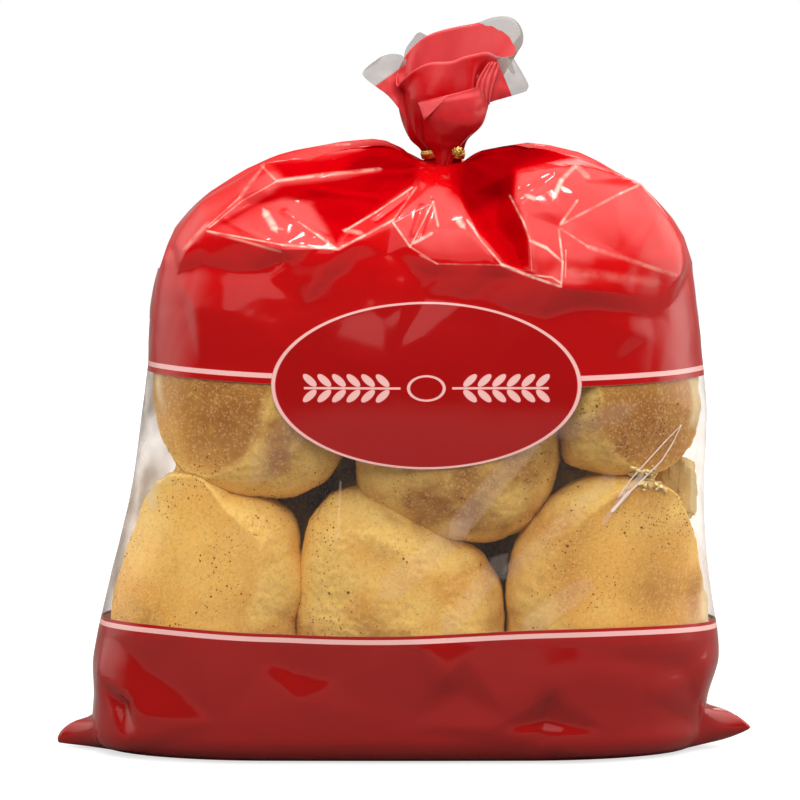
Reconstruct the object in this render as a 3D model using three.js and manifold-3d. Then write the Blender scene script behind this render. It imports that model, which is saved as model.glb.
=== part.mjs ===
// A printed plastic bag of pandesal, the Filipino bread roll, standing on its base.
// Units are millimetres, +Z is up and the front of the bag faces -Y.
//
// The bag is one closed body: a flat base, a wall drawn over two layers of rolls, a domed top
// gathered in pleats to a neck, and the loose end of the film fanned out above the neck.
// A gold twist tie, a body of its own, is wound round the neck, with a twisted knot and two tails.
import * as THREE from "three";
import { ParametricGeometry } from "three/addons/geometries/ParametricGeometry.js";
import { mergeVertices } from "three/addons/utils/BufferGeometryUtils.js";
import Module from "manifold-3d";

// ---------------------------------------------------------------- driving dimensions

const COLUMNS = 84; // steps round the bag

// Wall: height of each station, the middle of the section, its half width and half depth.
const WALL_STATIONS = [
  { z: 0, middle: -3, halfWidth: 136, halfDepth: 45 },
  { z: 22, middle: -1.5, halfWidth: 135.5, halfDepth: 46 },
  { z: 42, middle: 1, halfWidth: 138, halfDepth: 47 },
  { z: 75, middle: 2.5, halfWidth: 132.5, halfDepth: 48 },
  { z: 110, middle: 5.5, halfWidth: 126.5, halfDepth: 49 },
  { z: 150, middle: 8.5, halfWidth: 124, halfDepth: 50 },
  { z: 180, middle: 9, halfWidth: 121.5, halfDepth: 49 },
  { z: 205, middle: 9, halfWidth: 118.5, halfDepth: 46 },
];
const SHOULDER_Z = 205;
const CAP_SHARE = 0.56; // of the half width, taken by the round end of a section
const CAP_TURN = 0.165; // of the way round, on each side of an end's middle
const FACE_CROWN = 0.07; // how much further the middle of a face stands out
const BASE_ROUNDING = 11; // radius where the wall turns into the base

// Rolls that push the film out: three across and two high, on both faces.
const ROLL_PITCH = 88;
const ROLL_HEIGHTS = [52, 152];
const ROLL_BULGE = 2.6;
const ROLL_SPREAD = 34;

// Corners of the bottom seal, which stick out as ears at floor level.
const EARS = [
  { at: 0, reach: 21, low: 1, tip: 8.5, high: 18.5, halfTurn: 0.03 },
  { at: 0.5, reach: 19, low: 0, tip: 2, high: 13, halfTurn: 0.03 },
];
const EAR_PINCH = 0.55; // share of its thickness that the corner loses at the tip

// Domed top and its pleats.
const NECK = new THREE.Vector3(17, 0, 258);
const NECK_RADIUS = 7.6;
const SIDE_RISE = 61; // from the shoulder to the top of the lobes beside the neck
const FACE_RISE = 55; // from the shoulder to the neck, on the front and the back
const SIDE_ROUNDNESS = 2.15;
const FACE_ROUNDNESS = 1.4;
const DIMPLE_WIDTH = 13;
const PLEATS = 13;
const PLEAT_DEPTH = 6.5;
const PLEAT_SHIFT = 0.35; // how unevenly the pleats lie
const PLEAT_START = 22; // from the neck's middle to where they are full depth
const PLEAT_END = { nearest: 0.72, furthest: 1, waves: 5 }; // where they run out, as a share of the dome

// Neck and tie.
const NECK_LENGTH = 8;
const TIE_RADIUS = 9.3;
const TIE_HALF_HEIGHT = 1.9;
const TIE_HALF_THICKNESS = 0.55;
const TIE_Z = NECK.z + 4;
const KNOT_TURN = -0.16; // where the tie's ends are twisted together, at the right front
const KNOT_HALF_SIZE = { out: 2.4, along: 3, up: 3.2 };
const TAILS = [
  { turn: -0.12, length: 5.5, rise: 2 },
  { turn: -0.21, length: 6.5, rise: -1 },
];

// Rim of the loose end, measured from the neck and taken evenly round it from +X.
const RIM = [
  [37, -2, 35],
  [35, 8, 46],
  [33, 14, 59],
  [22, 18, 64],
  [6, 17, 62],
  [-10, 13, 57],
  [-20, 9, 47],
  [-35, 1, 39],
  [-23, -9, 35],
  [-8, -16, 41],
  [5, -11, 45],
  [19, -17, 49],
  [26, -12, 40],
  [28, -13, 33],
].map((point) => new THREE.Vector3(...point));
const RIM_CURVE = new THREE.CatmullRomCurve3(RIM, true, "catmullrom", 0.5);
const FAN_FLATNESS = 0.8; // of the fan's sections, front to back
const FAN_BELLY = { radius: 25.5, rise: 3 }; // pulls the fan out just above the neck
const FAN_WAIST = { radius: 17.5, rise: 22 }; // and in again below the rim
const FAN_PLEATS = 9;
const FAN_PLEAT_DEPTH = 1.6;
const FLAP = { at: 0.785, halfTurn: 0.13, low: 0.22, lip: 0.6, top: 0.7, depth: 5 }; // folded down in front
const LIP_INSET = 2; // from the rim to the hollow inside it
const LIP_STEP = 8; // how quickly the hollow's first row reaches that inset
const HOLLOW = new THREE.Vector3(3, 0, 30); // lowest point of the hollow, from the neck

const ROW_CROWDING = 0.85; // 0 spaces the wall's rows evenly, 1 crowds them at the base

// Rows of the surface, as [stage, steps]: see surfacePoint.
const STAGES = [
  ["base", 3],
  ["wall", 20],
  ["dome", 13],
  ["neck", 3],
  ["fan", 8],
  ["hollow", 4],
];

// ---------------------------------------------------------------- small helpers

const clamp01 = (x) => Math.min(1, Math.max(0, x));
const mix = (a, b, t) => a + (b - a) * t;
const smooth = (low, high, x) => THREE.MathUtils.smoothstep(x, low, high);
const gauss = (x) => Math.exp(-x * x);

// A wave of straight flanks from -1 to 1, with one crest for each whole x.
function zigzag(x) {
  return 4 * Math.abs(x - Math.floor(x + 0.5)) - 1;
}

// How far a turn is from another, the short way round.
function turnGap(a, b) {
  const gap = Math.abs(a - b) % 1;
  return Math.min(gap, 1 - gap);
}

// The wall's middle, half width and half depth at a height, smooth through the stations.
function wallAt(z) {
  const last = WALL_STATIONS.length - 1;
  let i = 0;
  while (i < last - 1 && z > WALL_STATIONS[i + 1].z) i += 1;
  const low = WALL_STATIONS[i];
  const high = WALL_STATIONS[i + 1];
  const before = WALL_STATIONS[Math.max(i - 1, 0)];
  const after = WALL_STATIONS[Math.min(i + 2, last)];
  const span = high.z - low.z;
  const t = clamp01((z - low.z) / span);
  const value = (key) => {
    const slopeLow = (high[key] - before[key]) / (high.z - before.z);
    const slopeHigh = (after[key] - low[key]) / (after.z - low.z);
    return (
      low[key] * (1 + 2 * t) * (1 - t) ** 2 +
      slopeLow * span * t * (1 - t) ** 2 +
      high[key] * t * t * (3 - 2 * t) +
      slopeHigh * span * t * t * (t - 1)
    );
  };
  return { middle: value("middle"), halfWidth: value("halfWidth"), halfDepth: value("halfDepth") };
}

// A section: two flat faces joined by half ellipses. turn runs once round it from +X.
function sectionPoint(turn, middle, halfWidth, halfDepth) {
  const cap = halfWidth * CAP_SHARE;
  const flat = halfWidth - cap;
  const faceTurn = 0.5 - 2 * CAP_TURN;
  const half = turn < 0.5 ? 0 : 1; // 0 is the way from +X to -X by the back, 1 is by the front
  const t = turn - 0.5 * half;
  const side = half === 0 ? 1 : -1;
  let x, y;
  if (t < CAP_TURN) {
    const angle = (t / CAP_TURN) * (Math.PI / 2);
    x = flat + cap * Math.cos(angle);
    y = halfDepth * Math.sin(angle);
  } else if (t < CAP_TURN + faceTurn) {
    x = mix(flat, -flat, (t - CAP_TURN) / faceTurn);
    y = halfDepth;
  } else {
    const angle = ((0.5 - t) / CAP_TURN) * (Math.PI / 2);
    x = -flat - cap * Math.cos(angle);
    y = halfDepth * Math.sin(angle);
  }
  y *= 1 + FACE_CROWN * (1 - (x / halfWidth) ** 2);
  return new THREE.Vector2(middle + side * x, side * y);
}

// How far the rolls push a face out at a point of it.
function rollBulge(x, z) {
  let push = 0;
  for (const height of ROLL_HEIGHTS) {
    for (const column of [-1, 0, 1]) {
      const away = Math.hypot(x - column * ROLL_PITCH, z - height);
      push += ROLL_BULGE * gauss(away / ROLL_SPREAD);
    }
  }
  return push;
}

// ---------------------------------------------------------------- the bag's surface

function wallPoint(turn, z) {
  const { middle, halfWidth, halfDepth } = wallAt(z);
  const lift = clamp01(z / BASE_ROUNDING);
  const inset = BASE_ROUNDING * (1 - Math.sqrt(1 - (1 - lift) ** 2));
  const flat = sectionPoint(turn, middle, halfWidth - inset, halfDepth - inset);
  const facing = Math.sin(2 * Math.PI * turn);
  flat.y += facing * rollBulge(flat.x, z) * lift;
  for (const ear of EARS) {
    const near = 1 - turnGap(turn, ear.at) / ear.halfTurn;
    const up = z < ear.tip ? (z - ear.low) / (ear.tip - ear.low) : (ear.high - z) / (ear.high - ear.tip);
    if (near > 0 && up > 0) {
      flat.x += (ear.at === 0 ? 1 : -1) * ear.reach * near * Math.sqrt(up);
      flat.y *= 1 - EAR_PINCH * near * up;
    }
  }
  return new THREE.Vector3(flat.x, flat.y, z);
}

function domePoint(turn, t) {
  const angle = 2 * Math.PI * turn;
  const facing = Math.sin(angle) ** 2; // 1 at the middle of the front and the back
  const power = 2 / mix(SIDE_ROUNDNESS, FACE_ROUNDNESS, facing);
  const out = Math.cos((t * Math.PI) / 2) ** power;
  const up = Math.sin((t * Math.PI) / 2) ** power;
  const foot = wallPoint(turn, SHOULDER_Z);
  const away = Math.hypot(foot.x - NECK.x, foot.y) * out;
  const rise = mix(SIDE_RISE, FACE_RISE, facing);
  const dimple = (rise - (NECK.z - SHOULDER_Z)) * gauss(away / DIMPLE_WIDTH);
  const point = new THREE.Vector3(
    NECK.x + (foot.x - NECK.x) * out + NECK_RADIUS * Math.cos(angle) * (1 - out),
    foot.y * out + NECK_RADIUS * Math.sin(angle) * (1 - out),
    SHOULDER_Z + rise * up - dimple,
  );
  const pleat = zigzag(PLEATS * turn + PLEAT_SHIFT * Math.sin(2 * angle + 1));
  const wave = 0.5 + 0.5 * Math.sin(PLEAT_END.waves * angle);
  const end = mix(PLEAT_END.nearest, PLEAT_END.furthest, wave);
  const depth = PLEAT_DEPTH * smooth(0, PLEAT_START, away) * (1 - smooth(0.25, end, out));
  const outward = new THREE.Vector3(foot.x - NECK.x, foot.y, 0).normalize();
  outward.multiplyScalar(out).setZ(1 - 0.5 * out);
  return point.addScaledVector(outward, pleat * depth);
}

function neckPoint(turn, t) {
  const angle = 2 * Math.PI * turn;
  return new THREE.Vector3(
    NECK.x + NECK_RADIUS * Math.cos(angle),
    NECK_RADIUS * Math.sin(angle),
    NECK.z + NECK_LENGTH * t,
  );
}

// The loose end bellies out from the neck, then fans out to its rim.
function fanPoint(turn, t) {
  const angle = 2 * Math.PI * turn;
  const foot = neckPoint(turn, 1);
  const rim = RIM_CURVE.getPoint(turn).add(NECK);
  const pull = ({ radius, rise }) => new THREE.Vector3(
    NECK.x + radius * Math.cos(angle),
    NECK.y + radius * FAN_FLATNESS * Math.sin(angle),
    foot.z + rise,
  );
  const point = new THREE.CubicBezierCurve3(foot, pull(FAN_BELLY), pull(FAN_WAIST), rim).getPoint(t);
  const near = clamp01(1 - turnGap(turn, FLAP.at) / FLAP.halfTurn);
  const lip = t < FLAP.lip ? (t - FLAP.low) / (FLAP.lip - FLAP.low) : (FLAP.top - t) / (FLAP.top - FLAP.lip);
  const out = FAN_PLEAT_DEPTH * zigzag(FAN_PLEATS * turn) * Math.sin(Math.PI * t) +
    FLAP.depth * Math.sqrt(near) * clamp01(lip);
  point.x += out * Math.cos(angle);
  point.y += out * Math.sin(angle);
  return point;
}

// From the rim down into the fan, to the lowest point of its hollow.
function hollowPoint(turn, t) {
  const rim = RIM_CURVE.getPoint(turn);
  const inward = new THREE.Vector3(HOLLOW.x - rim.x, HOLLOW.y - rim.y, 0).normalize();
  rim.addScaledVector(inward, LIP_INSET * clamp01(LIP_STEP * t));
  const sink = Math.sin((t * Math.PI) / 2);
  return new THREE.Vector3(
    mix(rim.x, HOLLOW.x, t),
    mix(rim.y, HOLLOW.y, t),
    mix(rim.z, HOLLOW.z, sink),
  ).add(NECK);
}

// Heights of the wall's rows are close together at the ears and wider apart above them.
function wallHeight(t) {
  return SHOULDER_Z * mix(t, t * t, ROW_CROWDING);
}

const STAGE_POINTS = {
  base: (turn, t) => wallPoint(turn, 0).multiplyScalar(t),
  wall: (turn, t) => wallPoint(turn, wallHeight(t)),
  dome: domePoint,
  neck: neckPoint,
  fan: fanPoint,
  hollow: hollowPoint,
};
const ROWS = STAGES.reduce((sum, [, steps]) => sum + steps, 0);

// The surface from the middle of the base (v = 0) to the bottom of the hollow (v = 1).
function surfacePoint(u, v, target) {
  const turn = Math.round(u * COLUMNS) % COLUMNS / COLUMNS;
  let row = Math.round(v * ROWS);
  let stage = 0;
  while (row > STAGES[stage][1]) {
    row -= STAGES[stage][1];
    stage += 1;
  }
  const [name, steps] = STAGES[stage];
  target.copy(STAGE_POINTS[name](turn, row / steps));
}

function makeBag() {
  const geometry = new ParametricGeometry(surfacePoint, COLUMNS, ROWS);
  geometry.deleteAttribute("normal");
  geometry.deleteAttribute("uv");
  const film = new THREE.MeshStandardMaterial({ color: 0xc8202a, roughness: 0.25, metalness: 0 });
  const bag = new THREE.Mesh(mergeVertices(geometry, 1e-3), film);
  bag.name = "bag";
  return bag;
}

// ---------------------------------------------------------------- the tie

const wasm = await Module();
wasm.setup();

function solidOf(geometry) {
  geometry.deleteAttribute("normal");
  geometry.deleteAttribute("uv");
  const merged = mergeVertices(geometry, 1e-4);
  const vertProperties = new Float32Array(merged.attributes.position.array);
  const triVerts = new Uint32Array(merged.index.array);
  return new wasm.Manifold(new wasm.Mesh({ numProp: 3, vertProperties, triVerts }));
}

// The ribbon wound once round the neck, about the Z axis.
function tieRing() {
  const steps = 48;
  const section = new THREE.Shape();
  section.absellipse(0, 0, TIE_HALF_THICKNESS, TIE_HALF_HEIGHT, 0, 2 * Math.PI);
  const outline = section.getPoints(3).slice(0, -1);
  const profile = outline.map((p) => new THREE.Vector2(TIE_RADIUS + p.x, p.y));
  profile.push(profile[0].clone());
  return new THREE.LatheGeometry(profile, steps).rotateX(Math.PI / 2);
}

// Where the ends are twisted together.
function tieKnot() {
  const knot = new THREE.IcosahedronGeometry(1, 3);
  knot.scale(KNOT_HALF_SIZE.out, KNOT_HALF_SIZE.along, KNOT_HALF_SIZE.up);
  knot.translate(TIE_RADIUS + KNOT_HALF_SIZE.out / 2, 0, 0);
  return knot.rotateZ(2 * Math.PI * KNOT_TURN);
}

// A flat end of the ribbon that runs outward from the knot.
function tieTail({ turn, length, rise }) {
  const steps = 8;
  const route = new THREE.QuadraticBezierCurve3(
    new THREE.Vector3(TIE_RADIUS + 1, 0, 0),
    new THREE.Vector3(TIE_RADIUS + length / 2, 0, rise / 4),
    new THREE.Vector3(TIE_RADIUS + length, 0, rise),
  );
  const section = new THREE.Shape();
  section.absellipse(0, 0, TIE_HALF_THICKNESS, TIE_HALF_HEIGHT, 0, 2 * Math.PI);
  const tail = new THREE.ExtrudeGeometry(section, { steps, curveSegments: 3, extrudePath: route });
  return tail.rotateZ(2 * Math.PI * turn);
}

function makeTie() {
  const pieces = [tieRing(), tieKnot(), ...TAILS.map(tieTail)];
  const solid = pieces.map(solidOf).reduce((sum, piece) => sum.add(piece));
  const { vertProperties, triVerts } = solid.getMesh();
  const geometry = new THREE.BufferGeometry();
  geometry.setAttribute("position", new THREE.BufferAttribute(vertProperties, 3));
  geometry.setIndex(new THREE.BufferAttribute(triVerts, 1));
  geometry.translate(NECK.x, NECK.y, TIE_Z);
  const gold = new THREE.MeshStandardMaterial({ color: 0xc9a24a, roughness: 0.3, metalness: 1 });
  const tie = new THREE.Mesh(geometry, gold);
  tie.name = "tie";
  return tie;
}

// ---------------------------------------------------------------- assembly

const group = new THREE.Group();
group.add(makeBag(), makeTie());

// The origin is under the middle of the bag, at the height of its base.
const box = new THREE.Box3().setFromObject(group);
const centre = box.getCenter(new THREE.Vector3());
group.children.forEach((mesh) => mesh.geometry.translate(-centre.x, -centre.y, -box.min.z));

export default group;
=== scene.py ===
import math
import random
from functools import lru_cache, partialmethod

import bmesh
import bpy
from mathutils import Matrix, Vector, kdtree, noise
from mathutils.bvhtree import BVHTree
from mathutils.geometry import delaunay_2d_cdt


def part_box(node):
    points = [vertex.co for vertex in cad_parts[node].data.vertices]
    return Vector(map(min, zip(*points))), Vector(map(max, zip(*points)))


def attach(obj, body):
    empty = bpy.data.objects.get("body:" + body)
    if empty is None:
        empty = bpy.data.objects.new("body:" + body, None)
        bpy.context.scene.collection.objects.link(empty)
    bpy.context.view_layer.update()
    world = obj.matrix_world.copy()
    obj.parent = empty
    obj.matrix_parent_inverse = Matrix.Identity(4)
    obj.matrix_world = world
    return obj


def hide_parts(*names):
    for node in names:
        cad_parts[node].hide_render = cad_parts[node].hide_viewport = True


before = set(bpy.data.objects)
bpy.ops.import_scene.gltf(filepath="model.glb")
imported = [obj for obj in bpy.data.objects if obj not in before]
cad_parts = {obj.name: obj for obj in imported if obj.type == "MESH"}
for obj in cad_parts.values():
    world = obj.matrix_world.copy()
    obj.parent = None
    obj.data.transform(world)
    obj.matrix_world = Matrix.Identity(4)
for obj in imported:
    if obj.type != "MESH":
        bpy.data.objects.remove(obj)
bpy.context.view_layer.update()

# Pandesal in their shop bag: crumbed rolls behind a clear window, red printed film above and
# below it, a gathered neck with a gold foil tie, and the loose end fanned out over the tie.
# Shapes are worked out in millimetres about the bag's own middle line, and put in place at the end.
# A place "as seen from the front" is given across and up, in millimetres on the bag's middle plane.

MM = 0.001
BAG = "bag"
TIE = "tie"

# ------------------------------------------------------------------ the bag's main sizes

# Wall stations from the base up: height, middle, half width, half depth.
WALL_STATIONS = [
    (0, -3, 136, 45),
    (22, -1.5, 135.5, 46),
    (42, 1, 138, 47),
    (75, 2.5, 132.5, 48),
    (110, 5.5, 126.5, 49),
    (150, 8.5, 124, 50),
    (180, 9, 121.5, 49),
    (205, 9, 118.5, 46),
]
SHOULDER_Z = 205
CAP_SHARE = 0.56  # of the half width, taken by the round end of a section
CAP_TURN = 0.165  # of the way round, on each side of an end's middle
FACE_CROWN = 0.07  # how much further the middle of a face stands out
BASE_ROUNDING = 11

# The rolls press the wall out a little.
ROLL_PITCH = 88
ROLL_HEIGHTS = (52, 152)
ROLL_BULGE = 2.6
ROLL_SPREAD = 34

# Corners of the bottom seal: turn, reach, lowest, tip, highest, half turn.
EARS = [(0.0, 21, 1, 8.5, 18.5, 0.03), (0.5, 19, 0, 2, 13, 0.03)]
EAR_PINCH = 0.55

NECK = Vector((17, 0, 258))
NECK_RADIUS = 7.6
NECK_LENGTH = 8
GATHERS = 19
GATHER_DEPTH = 0.7
SIDE_RISE = 61  # of the dome over the shoulder, at the bag's two sides
FACE_RISE = 55  # and at its front and back
SIDE_ROUNDNESS = 2.15
FACE_ROUNDNESS = 1.4
DIMPLE_WIDTH = 13
PLEATS = 13
PLEAT_DEPTH = 6.5
PLEAT_SHIFT = 0.35
PLEAT_START = 22  # from the neck, over which the pleats grow to their full depth
PLEAT_FADE = 0.25  # share of the way out to the wall where they begin to fade
PLEAT_END = (0.72, 1.0)  # and where they have faded, at the least and at the most
FRONT_PLEATS = 0.05  # share of their depth that the pleats keep over the front

VIEW_DISTANCE = 1600
VIEW_LIFT = math.radians(4)
VIEW_CENTRE = Vector((-1.8, 0, 154))
VIEW_ALONG = Vector((0, math.cos(VIEW_LIFT), -math.sin(VIEW_LIFT)))
VIEW_UP = Vector((0, math.sin(VIEW_LIFT), math.cos(VIEW_LIFT)))
FRAME_WIDTH = 352  # of the photograph, at the bag's middle

# The clear window's heights, and the label that reaches down into it.
WINDOW_LOW = 57.0
WINDOW_HIGH = 163.0
LABEL = Vector((9.4, 0, 163.8))
LABEL_HALF = (65.2, 35.1)

TIE_OUTER = 9.85  # the ring's radius outside
SHIFT = Vector((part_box(TIE)[0].x / MM + TIE_OUTER - NECK.x, 0, 0))


def clamp01(x):
    return min(1.0, max(0.0, x))


def mix(a, b, t):
    return a + (b - a) * t


def smooth(low, high, x):
    t = clamp01((x - low) / (high - low))
    return t * t * (3 - 2 * t)


def gauss(x):
    return math.exp(-x * x)


def zigzag(x):
    """Straight up and down between -1 and 1, once for each whole number."""
    return 4 * abs(x - math.floor(x + 0.5)) - 1


def turn_gap(a, b):
    """The shorter way round between two turns."""
    gap = abs(a - b) % 1
    return min(gap, 1 - gap)


@lru_cache(maxsize=None)
def wall_at(z):
    """The wall's middle, half width and half depth at a height, smooth through the stations."""
    last = len(WALL_STATIONS) - 1
    i = 0
    while i < last - 1 and z > WALL_STATIONS[i + 1][0]:
        i += 1
    low, high = WALL_STATIONS[i], WALL_STATIONS[i + 1]
    before, after = WALL_STATIONS[max(i - 1, 0)], WALL_STATIONS[min(i + 2, last)]
    span = high[0] - low[0]
    t = clamp01((z - low[0]) / span)
    values = []
    for k in (1, 2, 3):
        slope_low = (high[k] - before[k]) / (high[0] - before[0])
        slope_high = (after[k] - low[k]) / (after[0] - low[0])
        values.append(
            low[k] * (1 + 2 * t) * (1 - t) ** 2
            + slope_low * span * t * (1 - t) ** 2
            + high[k] * t * t * (3 - 2 * t)
            + slope_high * span * t * t * (t - 1)
        )
    return values


def section_point(turn, middle, half_width, half_depth):
    """A section: two flat faces joined by half ellipses. turn runs once round it from +X."""
    cap = half_width * CAP_SHARE
    flat = half_width - cap
    face_turn = 0.5 - 2 * CAP_TURN
    back = turn < 0.5
    t = turn if back else turn - 0.5
    if t < CAP_TURN:
        angle = t / CAP_TURN * math.pi / 2
        x, y = flat + cap * math.cos(angle), half_depth * math.sin(angle)
    elif t < CAP_TURN + face_turn:
        x, y = mix(flat, -flat, (t - CAP_TURN) / face_turn), half_depth
    else:
        angle = (0.5 - t) / CAP_TURN * math.pi / 2
        x, y = -flat - cap * math.cos(angle), half_depth * math.sin(angle)
    y *= 1 + FACE_CROWN * (1 - (x / half_width) ** 2)
    side = 1 if back else -1
    return middle + side * x, side * y


def roll_bulge(x, z):
    """How far the rolls press the wall out."""
    push = 0.0
    for height in ROLL_HEIGHTS:
        for column in (-1, 0, 1):
            away = math.hypot(x - column * ROLL_PITCH, z - height)
            push += ROLL_BULGE * gauss(away / ROLL_SPREAD)
    return push


def wall_point(turn, z):
    """The bag's wall, with the ears of its bottom seal."""
    middle, half_width, half_depth = wall_at(z)
    lift = clamp01(z / BASE_ROUNDING)
    inset = BASE_ROUNDING * (1 - math.sqrt(1 - (1 - lift) ** 2))
    x, y = section_point(turn, middle, half_width - inset, half_depth - inset)
    y += math.sin(2 * math.pi * turn) * roll_bulge(x, z) * lift
    for at, reach, low, tip, high, half_turn in EARS:
        near = 1 - turn_gap(turn, at) / half_turn
        up = (z - low) / (tip - low) if z < tip else (high - z) / (high - tip)
        if near > 0 and up > 0:
            x += (1 if at == 0 else -1) * reach * near * math.sqrt(up)
            y *= 1 - EAR_PINCH * near * up
    return Vector((x, y, z))


def dome_point(turn, t):
    """The bag's top, with its pleats: t runs from the shoulder to the neck."""
    angle = 2 * math.pi * turn
    facing = math.sin(angle) ** 2
    power = 2 / mix(SIDE_ROUNDNESS, FACE_ROUNDNESS, facing)
    out = math.cos(t * math.pi / 2) ** power if t < 1 else 0.0
    up = math.sin(t * math.pi / 2) ** power
    foot = wall_point(turn, SHOULDER_Z)
    radius = neck_radius(turn)
    away = math.hypot(foot.x - NECK.x, foot.y) * out
    rise = mix(SIDE_RISE, FACE_RISE, facing)
    dimple = (rise - (NECK.z - SHOULDER_Z)) * gauss(away / DIMPLE_WIDTH)
    point = Vector((
        NECK.x + (foot.x - NECK.x) * out + radius * math.cos(angle) * (1 - out),
        foot.y * out + radius * math.sin(angle) * (1 - out),
        SHOULDER_Z + rise * up - dimple,
    ))
    pleat = zigzag(PLEATS * turn + PLEAT_SHIFT * math.sin(2 * angle + 1))
    end = mix(PLEAT_END[0], PLEAT_END[1], 0.5 + 0.5 * math.sin(5 * angle))
    depth = PLEAT_DEPTH * smooth(0, PLEAT_START, away) * (1 - smooth(PLEAT_FADE, end, out))
    depth *= mix(1, FRONT_PLEATS, smooth(0.1, 0.5, -math.sin(angle)))
    outward = Vector((foot.x - NECK.x, foot.y, 0)).normalized() * out
    outward.z = 1 - 0.5 * out
    return point + outward * (pleat * depth)


def neck_radius(turn):
    return NECK_RADIUS + GATHER_DEPTH * zigzag(GATHERS * turn + 0.4 * math.sin(6 * math.pi * turn))


def neck_point(turn, t):
    angle = 2 * math.pi * turn
    radius = neck_radius(turn)
    return Vector((
        NECK.x + radius * math.cos(angle),
        radius * math.sin(angle),
        NECK.z + NECK_LENGTH * t,
    ))


# ------------------------------------------------------------------ making meshes


def new_piece(name, bm, material, keep_normals=False):
    """Finishes a mesh made in millimetres, puts it in place and makes it an object."""
    bm.transform(Matrix.Scale(MM, 4) @ Matrix.Translation(SHIFT))
    if not keep_normals:
        bm.normal_update()
    mesh = bpy.data.meshes.new(name)
    bm.to_mesh(mesh)
    bm.free()
    for polygon in mesh.polygons:
        polygon.use_smooth = True
    mesh.materials.append(material)
    piece = bpy.data.objects.new(name, mesh)
    bpy.context.scene.collection.objects.link(piece)
    return piece


def sheet(columns, rows, place):
    """A grid of squares with each corner placed by place(u, v), u and v from 0 to 1."""
    bm = bmesh.new()
    bmesh.ops.create_grid(bm, x_segments=columns, y_segments=rows, size=0.5)
    for vert in bm.verts:
        vert.co = place(vert.co.x + 0.5, vert.co.y + 0.5)
    return bm


def through(points, t, closed=True):
    """A smooth curve through points, t from 0 to 1."""
    n = len(points)
    spans = n if closed else n - 1
    x = clamp01(t) * spans
    i = min(int(x), spans - 1)
    f = x - i

    def at(k):
        return points[k % n] if closed else points[min(max(k, 0), n - 1)]

    a, b, c, d = (Vector(at(i + k)) for k in (-1, 0, 1, 2))
    return b + 0.5 * f * (c - a + f * (2 * a - 5 * b + 4 * c - d + f * (3 * (b - c) + d - a)))


# ------------------------------------------------------------------ folds in the film

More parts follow.
